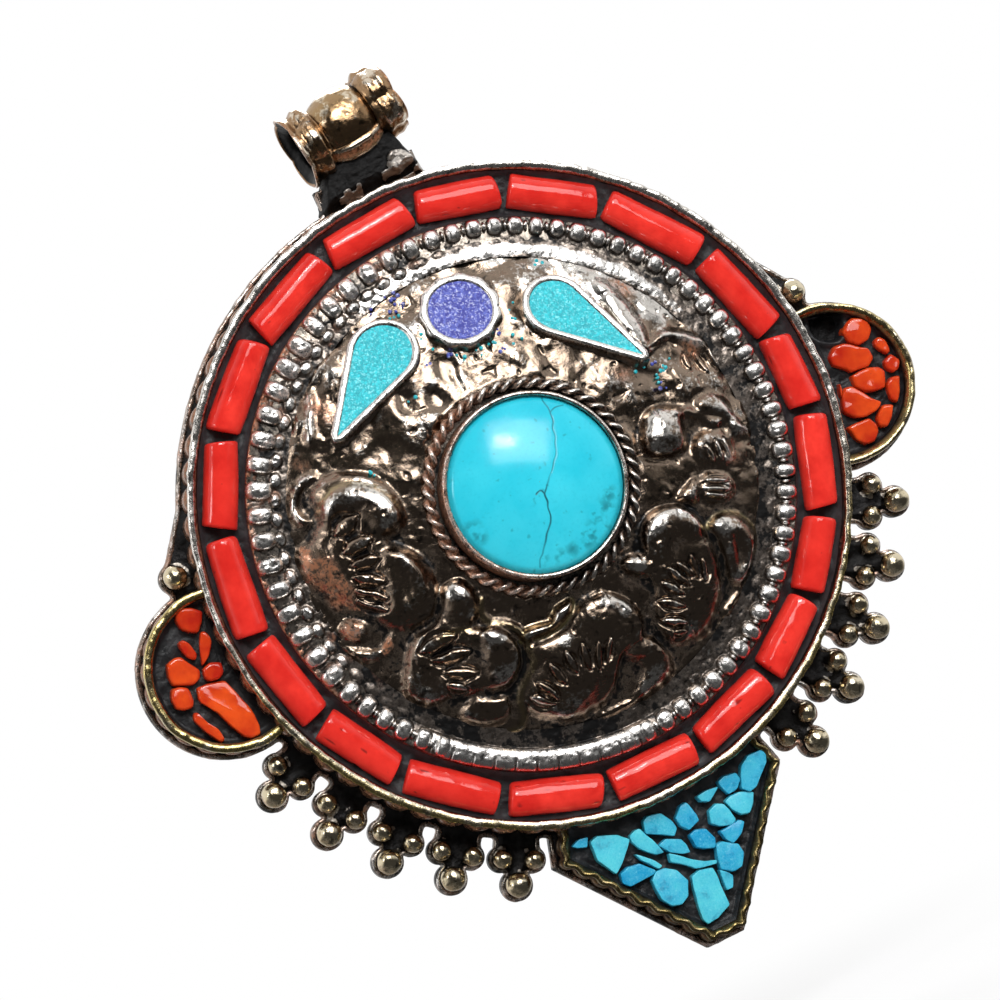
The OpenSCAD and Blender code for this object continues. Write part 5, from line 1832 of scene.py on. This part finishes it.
def granule_piece(word):
    """The balls of one side, with a painted copper reflection towards their lower left."""
    form = Form()
    luck = np.random.default_rng(7)
    for part in loose_parts(word + "_granules"):
        low, high = part.min(axis=0), part.max(axis=0)
        radius = (high[0] - low[0]) / 2
        middle = np.array([(low[0] + high[0]) / 2, (low[1] + high[1]) / 2, high[2] - radius])
        p, worn = ball(middle, radius * 0.99, float(luck.integers(100)))
        p[..., 2] = np.maximum(p[..., 2], PLATE_T)
        # A painted warm reflection on each ball's lower left side.
        low_left = -0.7 * (p[..., :2] - middle[:2]).sum(axis=-1) / radius
        form.grid(p, close_rows=True, worn=worn, warm=0.60 * step_up(low_left, 0.25, 0.95), gold=0.35)
    balls = form.object(word + "_balls", GRANULE_METAL)
    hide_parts(word + "_granules")


# The plate's edge, and the black ground between the rim and the granules

EDGE_STEP = 0.11
EDGE_EASE = 6
GROUND_STEPS = 1260
GROUND_RINGS = 46
GROUND_LAP = 0.5
GROUND_REACH = 7.6
GROUND_BARE = 0.16


def plate_outline():
    """The front outline of the CAD plate, counter-clockwise, in face coordinates."""
    work = welded("base_plate")
    ahead = {}
    for edge in work.edges:
        front = [face.normal.y < -0.9 for face in edge.link_faces]
        if sum(front) == 1 and len(front) == 2:
            a, b = edge.verts
            ahead.setdefault(a, []).append(b)
            ahead.setdefault(b, []).append(a)
    loops = []
    while ahead:
        loop, last, here = [], None, next(iter(ahead))
        while here in ahead:
            loop.append(here.co.copy())
            onward = [v for v in ahead.pop(here) if v is not last and v in ahead]
            last, here = here, onward[0] if onward else None
        loops.append(to_face(loop)[:, :2])
    work.free()
    outline = max(loops, key=lambda line: np.ptp(line, axis=0).sum())
    x, y = outline.T
    if np.sum(x * np.roll(y, -1) - np.roll(x, -1) * y) < 0:
        outline = outline[::-1]
    return outline


def plate_edge_piece(outline):
    """The plate's thin bright edge, rounded and wavy as it was cut and filed."""
    line = eased(resample(outline, EDGE_STEP), EDGE_EASE)
    wave = ripples(flat(*line.T), 1.3, seed=141)
    dent = ripples(flat(*line.T), 0.45, seed=145)
    out = 0.03 + 0.05 * wave + 0.03 * dent
    # How far out, how high and how worn: from the plate's front over its edge to its back
    rows = [
        (-0.42, PLATE_T - 0.05, 0.1), (-0.34, PLATE_T + 0.10 + 0.05 * dent, 0.45),
        (out - 0.16, PLATE_T + 0.20 + 0.06 * wave, 0.75), (out - 0.04, PLATE_T + 0.10, 0.70),
        (out, PLATE_T * 0.55, 0.35), (out - 0.05, 0.02, 0.2), (out - 0.25, 0.01, 0.1),
    ]
    out, w, worn = columns(rows, len(line))
    worn = np.clip(worn + 0.15 * dent[:, None], 0, 1)
    warm = np.clip(0.25 + 0.6 * wave, 0, 0.8)[:, None]
    form = Form()
    form.grid(sweep(line, out, w), close_rows=True, worn=worn, warm=warm)
    edge = form.object("plate_edge", SILVER_METAL)


def ground_piece(outline):
    """Black solder and filler, drawn up round the wall and the granules, thin towards the plate's edge."""
    r = np.linspace(RIM_R - GROUND_LAP, RIM_R + GROUND_REACH, GROUND_RINGS)
    places = listed(*ring_places(all_round(GROUND_STEPS), r))
    points = flat(*places.T)
    depth = depth_inside(places, resample(outline, 0.35))
    height = 0.10 + 0.16 * ripples(points, 1.1, seed=151) + 0.07 * ripples(points, 0.35, seed=154)
    height += 0.60 * np.exp(-np.maximum(np.hypot(*places.T) - RIM_R + 0.1, 0) / 0.35)
    splash = np.zeros(len(places))
    for part in loose_parts("left_granules") + loose_parts("right_granules"):
        low, high = part.min(axis=0), part.max(axis=0)
        wide = high[0] - low[0]
        away = np.hypot(*(places - (low + high)[:2] / 2).T)
        height += 0.42 * np.exp(-np.maximum(away - 0.36 * wide, 0) / 0.28)
        splash = np.maximum(splash, step_up(0.62 * wide + 0.25 - away, 0, 0.3))
    height = np.maximum(height * step_up(depth, 0.0, 0.7) + 0.02, 0.01)
    kept = depth > GROUND_BARE
    faces = grid_faces(GROUND_STEPS, GROUND_RINGS, close_rows=True)
    worn = 0.30 + 0.9 * step_up(lumps(points, 0.6, seed=157), 0.35, 0.9) * step_up(0.5 - depth, 0, 0.4)
    worn = np.clip(worn + 0.8 * splash * step_up(lumps(points, 0.55, seed=158), 0.10, 0.45), 0, 1)
    form = Form()
    form.add(np.column_stack([places, PLATE_T + height]), faces[kept[faces].all(axis=1)], worn=worn)
    ground = form.object("plate_ground", GROUND_METAL, outward=False)


TAB_STEPS = 90
TAB_SPREAD = 0.35
TAB_FOOT_SPREAD = 0.5
TAB_NARROWING = 1.4
TAB_FLOOR = 0.05
TAB_BLOB_PX = (399, 160)
TAB_BLOB = from_photo([TAB_BLOB_PX], PLATE_T + 1.5)[0]


def tab_piece():
    """The filled tab under the bail: a black slope from the rim up to the bulb, with solder run round it."""
    side, rise = np.meshgrid(np.linspace(-1, 1, TAB_STEPS), np.linspace(0, 1, TAB_STEPS), indexing="ij")
    foot_v = np.sqrt((RIM_R + 0.15) ** 2 - (side * (TAB_HALF + TAB_FOOT_SPREAD)) ** 2)
    top_v = BAIL_V - BULB_R * 0.80 + side * math.tan(math.radians(BAIL_CANT)) * TAB_HALF
    ragged = ripples(np.stack([rise, side > 0, 0 * rise], axis=-1), 0.2, 167)
    u = side * (TAB_HALF + TAB_SPREAD - TAB_NARROWING * rise ** 1.5 + 0.10 * ragged)
    v = foot_v + (top_v - foot_v) * rise
    points = flat(u, v)
    edge = np.minimum(step_up(1 - np.abs(side), 0, 0.16), step_up(1.02 - rise, 0, 0.10))
    w = PLATE_T + 0.5 + 1.15 * step_up(rise, 0.0, 0.35) + 0.20 * np.abs(ripples(points, 1.3, seed=161))
    w += 0.10 * ripples(points, 0.4, seed=163)
    w = TAB_FLOOR + (w - TAB_FLOOR) * np.sqrt(edge)
    away = np.hypot(u - TAB_BLOB[0], v - TAB_BLOB[1]) + 0.30 * ripples(points, 0.7, seed=166)
    blob = step_up(1.0 - away, 0, 0.35)
    crumbs = step_up(lumps(points, 0.5, seed=165), -0.35, 0.05) * step_up(0.40 - rise, 0, 0.14)
    crumbs = crumbs * step_up(side, -0.9, -0.5)
    w += 0.35 * blob + 0.20 * blob * ripples(points, 0.4, seed=168) + 0.25 * crumbs
    worn = np.clip(0.15 + step_up(blob, 0.25, 0.5) + crumbs, 0, 1)
    form = Form()
    form.grid(raised(u, v, np.maximum(w, TAB_FLOOR)), worn=worn)
    tab = form.object("tab_filler", TAB_METAL, outward=False)


# The bail. Its own coordinates run along its axis, away from it, and round it from up towards the viewer.

BAIL_NECK = BORE_R + (BULB_R - BORE_R) * 0.25
BAIL_STEPS = 180
BULB_ROWS = 60
BORE_ROWS = 12
TUBE_HALF = 2.7
COLLAR_LOBES = 5
COLLAR_STEPS = 280
COLLAR_ROWS = 44
COLLAR_LAP = 0.20
COLLAR_SWELL = 0.10
HORN_TURN = 2 * math.pi - 0.5

# Lines of the cradle along the bulb: degrees round it, how far out, how worn and how coppery
CRADLE_LINES = [
    (128, 0.02, 0.3, 0.0), (130, 0.22, 0.9, 0.0), (133, 0.33, 1.0, 0.0), (136, 0.30, 0.8, 0.2),
    (138, 0.18, 0.4, 1.0), (144, 0.16, 0.4, 1.0), (150, 0.18, 0.4, 1.0), (153, 0.32, 0.8, 0.2),
    (157, 0.36, 1.0, 0.0), (161, 0.28, 0.9, 0.0), (164, 0.02, 0.2, 0.0),
]
CRADLE_ENDS = (-2.15, 2.3)


def bail_frame(x, r, turn):
    c = math.cos(math.radians(BAIL_CANT))
    s = math.sin(math.radians(BAIL_CANT))
    up = r * np.cos(turn)
    u = x * c - up * s
    v = x * s + up * c
    return raised(u, BAIL_V + v, BAIL_W + r * np.sin(turn))


def bulb_radius(x):
    """The bulb's full round profile along the bail's axis."""
    share = np.clip(np.abs(x) / (BULB_L / 2), 0, 1)
    return BAIL_NECK + (BULB_R - BAIL_NECK) * (1 - share ** 2.5)


def bulb_piece():
    """The bulb, and the tube under it that runs into both collars and holds the bore."""
    turn = angles(BAIL_STEPS)[:, None]
    x_out = np.linspace(-BULB_L / 2, BULB_L / 2, BULB_ROWS)
    r_out = bulb_radius(x_out)
    x_bore = np.linspace(TUBE_HALF, -TUBE_HALF, BORE_ROWS)
    x = np.concatenate([[-TUBE_HALF], x_out, [TUBE_HALF, TUBE_HALF], x_bore])
    r = np.concatenate([[BAIL_NECK], r_out, [BAIL_NECK, BORE_R], np.full(BORE_ROWS, BORE_R)])
    p = bail_frame(x, r, turn)
    skin = slice(1, BULB_ROWS + 1)
    r = np.tile(r, (BAIL_STEPS, 1))
    r[:, skin] += (0.05 * ripples(p, 1.3, seed=121) + 0.025 * ripples(p, 0.35, seed=122))[:, skin]
    p = bail_frame(x, np.minimum(r, BULB_R), turn)
    worn = np.full(r.shape, -0.4)
    gold = np.zeros_like(worn)
    level = (r_out - BAIL_NECK) / (BULB_R - BAIL_NECK)
    worn[:, skin] = 0.25 + 0.40 * level + 0.40 * ripples(p[:, skin], 1.2, seed=123)
    # A brassy tint on the bulb's upper side: a painted warm reflection.
    gold[:, skin] = 0.15 * step_up(np.cos(turn), -0.2, 0.8)
    form = Form()
    form.grid(p, close_rows=True, close_columns=True, worn=worn, gold=gold)
    bulb = form.object("bail_bulb", BAIL_METAL)
    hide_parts("bail_tube")


def collar_piece(word, sign, phase):
    """A cast collar of round lobes, with a flared open mouth on the left and a closing knob on the right."""
    turn = angles(COLLAR_STEPS)[:, None]
    lobe = np.abs(np.cos((turn - phase) * COLLAR_LOBES / 2)) ** 0.6
    t = np.linspace(0, 1, COLLAR_ROWS)[None, :]
    start = BULB_L / 2 - COLLAR_LAP
    reach = (COLLAR_L + COLLAR_LAP) * (0.93 + 0.07 * lobe)
    room = COLLAR_R - BAIL_NECK - COLLAR_SWELL
    if sign < 0:
        profile = 0.35 + 0.62 * step_up(t, 0, 0.25) - 0.34 * hump(t - 0.68, 0.26)
        notch = 0.42 * (1 - 0.75 * step_up(t, 0.7, 1.0))
    else:
        profile = 0.40 + 0.60 * step_up(t, 0, 0.30) - 0.30 * step_up(t, 0.72, 1.0)
        profile = profile - 0.10 * hump(t - 0.55, 0.2)
        notch = 0.50
    r = BAIL_NECK + COLLAR_SWELL + room * profile * (1 - notch * (1 - lobe))
    horn = hump(turn - HORN_TURN, 0.30) * hump(t - 0.10, 0.22) * (sign > 0)
    r = np.maximum(r, BAIL_NECK + (COLLAR_R + COLLAR_SWELL - BAIL_NECK) * horn)
    r = blur_polar(r, 2, 1)
    inner_t = t[:, ::-1]
    r_in = np.maximum(BORE_R + 0.05, r[:, ::-1] - 0.18 - 0.9 * (1 - inner_t))
    r_in = np.minimum(r_in, BAIL_NECK + (COLLAR_R - BAIL_NECK) * inner_t ** 1.6)
    xs = np.concatenate([start + reach * t, start + reach * inner_t], axis=1) * sign
    rs = np.concatenate([r, r_in], axis=1)
    rough = 0.07 * ripples(bail_frame(xs, rs, turn), 0.8, seed=131 + sign)
    p = bail_frame(xs, np.clip(rs + rough, BORE_R, COLLAR_R + COLLAR_SWELL), turn)
    outer = 0.10 + 0.65 * (r - BAIL_NECK) / room + 0.30 * ripples(p[:, :COLLAR_ROWS], 0.7, seed=135)
    # Inside the mouth the mark drops below zero, so the inside is black: painted shade.
    inner = np.broadcast_to(-0.6 + 1.2 * inner_t ** 14, outer.shape)
    worn = np.concatenate([np.clip(outer, 0, 1), inner], axis=1)
    warm = np.zeros_like(worn)
    warm[:, COLLAR_ROWS - 4:COLLAR_ROWS + 1] = 0.5
    form = Form()
    form.grid(p, close_rows=True, close_columns=True, worn=worn, warm=warm)
    collar = form.object("bail_" + word + "_flare", BAIL_METAL)
    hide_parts("bail_" + word + "_collar")


def lip_piece():
    """The narrow cradle along the bulb's lower side, with bright edges and a copper middle."""
    degrees, rise, worn, warm = np.array(CRADLE_LINES).T
    turn = np.radians(degrees)
    x = np.linspace(*CRADLE_ENDS, 60)[:, None]
    r = bulb_radius(x) + rise
    r = r + 0.05 * ripples(bail_frame(x, r, turn), 0.6, seed=171)
    form = Form()
    form.grid(bail_frame(x, r, turn), worn=worn, warm=warm)
    lip = form.object("bail_cradle", BAIL_METAL, outward=False)


# Crumbs of stone in the dome's hollows: a pixel, and 0 for turquoise or 1 for lapis

CRUMBS = [
    (329, 348, 0), (276, 494, 0), (374, 471, 0), (508, 290, 0), (511, 305, 0), (513, 320, 0), (518, 338, 0),
    (385, 292, 1), (390, 299, 1), (398, 294, 1), (403, 302, 1), (394, 306, 1), (412, 322, 1), (424, 338, 0),
    (436, 347, 0), (448, 352, 1), (462, 356, 0), (480, 352, 0), (492, 346, 0), (506, 352, 1), (395, 318, 0),
    (640, 368, 0), (652, 360, 1), (660, 372, 0), (668, 362, 0), (676, 372, 1), (655, 380, 0), (428, 362, 1),
    (500, 330, 1), (540, 262, 0), (372, 312, 1), (345, 318, 0), (646, 352, 0), (664, 384, 1), (414, 400, 0),
]


CRUMB_SPREAD_PX = 5
CRUMBS_EACH = 3


def crumbs_piece():
    """Stone dust left in the dome's hollows: turquoise and lapis crumbs."""
    luck = np.random.default_rng(23)
    for kind, material, slot in ((0, INLAY_STONE, "inlay_stone"), (1, LAPIS_STONE, "lapis_stone")):
        form = Form()
        for x, y, which in CRUMBS:
            if which != kind:
                continue
            for _ in range(CRUMBS_EACH):
                right = luck.uniform(-CRUMB_SPREAD_PX, CRUMB_SPREAD_PX)
                down = luck.uniform(-CRUMB_SPREAD_PX, CRUMB_SPREAD_PX)
                u, v = on_dome([(x + right, y + down)])[0]
                w = min(float(dome_w(math.hypot(u, v))), SEAT_W) + luck.uniform(-0.08, 0.16)
                size = luck.uniform(0.07, 0.17)
                p, _ = ball(np.array([u, v, w]), size, float(luck.integers(99)), rounds=9, rows=6)
                form.grid(p, close_rows=True)
        crumbs = form.object("stone_dust_" + slot.split("_")[0], material)


# Pieces whose CAD shape stays: softened edges and better metal

SHARP_DEGREES = 40


def dress(node_name, material, bevel):
    piece = frame["nodes"][node_name]
    for slot in piece.material_slots:
        slot.material = material
    if not piece.material_slots:
        piece.data.materials.append(material)
    edge = piece.modifiers.new("edge", "BEVEL")
    edge.width = bevel * MM
    edge.segments = 3
    edge.limit_method = "ANGLE"
    edge.angle_limit = math.radians(SHARP_DEGREES)


def dressed_nodes():
    dress("base_plate", PLATE_METAL, 0.12)
    dress("bail_saddle", PLATE_METAL, 0.15)
    dress("case_wall", CASE_METAL, 0.08)
    dress("back_lid", CASE_METAL, 0.15)
    dress("lid_rim", CASE_METAL, 0.08)


# The folded prayer inside

PACKET_LAYERS = 6
LAYER_INSET = 0.25
FOLD_DEPTH = 0.1
FOLD_LIFT = 0.02
THREAD_R = 0.16
THREAD_ROUND = 8
THREAD_CLEAR = 0.2
THREAD_LANES = (-0.40, -0.13, 0.13, 0.40)


def rectangle(half, low, high):
    return np.array([(-half, low), (half, low), (half, high), (-half, high)])


def packet_pieces():
    """Folded sheets with round edges, and a thread that goes round them crosswise."""
    half = radius_of("prayer_packet")
    bottom, top = heights_of("prayer_packet")
    step = (top - bottom) / PACKET_LAYERS
    out = np.array([-half * 0.98, -FOLD_DEPTH, 0, -FOLD_DEPTH, -half * 0.98])
    lift = np.array([0, FOLD_LIFT, step / 2, step - FOLD_LIFT, step])
    closing = np.where(out < -1, 0.02, 1.0)[:, None]
    form = Form()
    for i in range(PACKET_LAYERS):
        size = half - LAYER_INSET * (i % 3)
        line = eased(resample(rectangle(size, -size, size), 0.5), 2)
        p = sweep(line, out, bottom + i * step + lift)
        p[..., :2] *= closing
        form.grid(p, close_rows=True)
    paper = form.object("folded_paper", PAPER)
    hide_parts("prayer_packet")
    form = Form()
    a = angles(THREAD_ROUND)
    loop = rectangle(half + THREAD_CLEAR, bottom - THREAD_CLEAR, top + THREAD_CLEAR)
    loop = sweep(eased(resample(loop, 0.25), 3), THREAD_R * np.cos(a), THREAD_R * np.sin(a))
    for across in (0, 1):
        for lane in THREAD_LANES:
            p = np.empty_like(loop)
            p[..., across] = loop[..., 0]
            p[..., 1 - across] = loop[..., 2] + lane
            p[..., 2] = loop[..., 1]
            form.grid(p, close_rows=True, close_columns=True)
    thread = form.object("tied_thread", THREAD)
    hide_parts("packet_thread")


# Floor and light

FLOOR_DROP = 8.0
DIFFUSE_SKY = 0.32
ROOM_DIM = 0.05
FLOOR_DARK_TO = 0.0
FLOOR_BRIGHT_FROM = 0.12
FLOOR_R = 0.35
FLOOR_SIDES = 96
SHADOW_R = 0.07
SHADOW_GLOW = 0.60


def floor():
    """A pale round floor below the hanging pendant, white to the camera away from its shadow."""
    material, tree, shader = new_material("pale_floor")
    set_shader(tree, shader, base=colour(0.86, 0.86, 0.86), rough=0.9)
    output = next(n for n in tree.nodes if n.bl_idname == "ShaderNodeOutputMaterial")
    place = node(tree, "TexCoord").outputs["Object"]
    away = node(tree, "VectorMath", {0: place}, operation="LENGTH").outputs["Value"]
    depth = node(tree, "SeparateXYZ", {0: place}).outputs["Y"]
    path = node(tree, "LightPath")
    seen = maths(tree, "MAXIMUM", path.outputs["Is Camera Ray"], path.outputs["Is Transmission Ray"])
    share = times(tree, seen, spread(tree, away, 0.0, SHADOW_R, SHADOW_GLOW, 1.0))
    share = maths(tree, "MAXIMUM", share, path.outputs["Is Glossy Ray"])
    # For reflections the floor glows: dim in front of the pendant and white behind it.
    mirrored = spread(tree, depth, FLOOR_DARK_TO, FLOOR_BRIGHT_FROM, ROOM_DIM, 1.0)
    strength = blend_value(tree, path.outputs["Is Glossy Ray"], 1.0, mirrored)
    white = node(tree, "Emission", {"Color": colour(1, 1, 1), "Strength": strength})
    mixed = node(tree, "MixShader", {0: share, 1: shader.outputs[0], 2: white.outputs[0]})
    tree.links.new(mixed.outputs[0], output.inputs["Surface"])
    bpy.ops.mesh.primitive_circle_add(vertices=FLOOR_SIDES, radius=FLOOR_R, fill_type="NGON")
    disc = bpy.context.object
    disc.name = "floor"
    disc.location = (0, 0, CAD_BOUNDS[0][2] - FLOOR_DROP * MM)
    disc.data.materials.append(material)


def world():
    """White round the object, and for reflections dimmer behind the camera, as in a real room."""
    made = bpy.data.worlds.new("studio")
    made.use_nodes = True
    tree = made.node_tree
    tree.nodes.clear()
    path = node(tree, "LightPath")
    ahead = node(tree, "TexCoord").outputs["Generated"]
    front = tuple(frame_direction(AXES[2]))
    facing = node(tree, "VectorMath", {0: ahead, 1: front}, operation="DOT_PRODUCT").outputs["Value"]
    mirrored = spread(tree, facing, 0.15, 0.70, 1.0, ROOM_DIM)
    strength = blend_value(tree, path.outputs["Is Glossy Ray"], DIFFUSE_SKY, mirrored)
    seen = maths(tree, "MAXIMUM", path.outputs["Is Camera Ray"], path.outputs["Is Transmission Ray"])
    strength = blend_value(tree, seen, strength, 1.0)
    sky = node(tree, "Background", {"Color": colour(1, 1, 1), "Strength": strength})
    output = node(tree, "OutputWorld")
    tree.links.new(sky.outputs[0], output.inputs["Surface"])
    bpy.context.scene.world = made


def lamp(name, direction, distance, size, radiance, height=None):
    """A lamp that looks at the disc's middle, sized in metres. The direction is in face coordinates."""
    data = bpy.data.lights.new(name, "AREA")
    data.shape = "RECTANGLE"
    data.size = size
    data.size_y = height or size
    data.energy = radiance * math.pi * data.size * data.size_y
    made = bpy.data.objects.new(name, data)
    d = np.array(direction, dtype=float)
    d = d / np.linalg.norm(d)
    target = Vector(to_frame(np.zeros(3)))
    away = frame_direction(d)
    side = frame_direction(AXES[1]).cross(away).normalized()
    turn = Matrix([side, away.cross(side), away]).transposed().to_4x4()
    made.matrix_world = Matrix.Translation(target + away * distance) @ turn
    bpy.context.scene.collection.objects.link(made)


def light():
    world()
    lamp("soft_key", np.array([0.08, 0.67, 0.74]) @ AXES, 0.50, 0.36, 5.8, height=0.28)
    lamp("hard_key", np.array([-0.08, 0.66, 0.75]) @ AXES, 0.45, 0.10, 27, height=0.055)
    lamp("left_fill", np.array([-0.85, 0.10, 0.5]) @ AXES, 0.45, 0.09, 8)
    lamp("right_fill", np.array([0.85, -0.25, 0.55]) @ AXES, 0.45, 0.08, 6)
    lamp("back_fill", (0.3, 0.6, -0.8), 0.5, 0.2, 9)


make_camera()
bpy.context.scene.view_settings.view_transform = "Standard"
light()
floor()
dome_pieces()
bead_ring_piece()
rim_piece()
channel_piece()
coral_piece()
cabochon_piece()
cup_piece()
rope_piece()
inlay_pieces()
ear_pieces("left", 1, LEFT_EAR_CHIPS, broad=0.62, brass=0.95)
ear_pieces("right", -1, RIGHT_EAR_CHIPS, broad=0.46, brass=0.8)
triangle_pieces()
granule_piece("left")
granule_piece("right")
bulb_piece()
collar_piece("left", -1, phase=0.30)
collar_piece("right", 1, phase=0.95)
lip_piece()
crumbs_piece()
front_outline = plate_outline()
plate_edge_piece(front_outline)
ground_piece(front_outline)
tab_piece()
dressed_nodes()
packet_pieces()
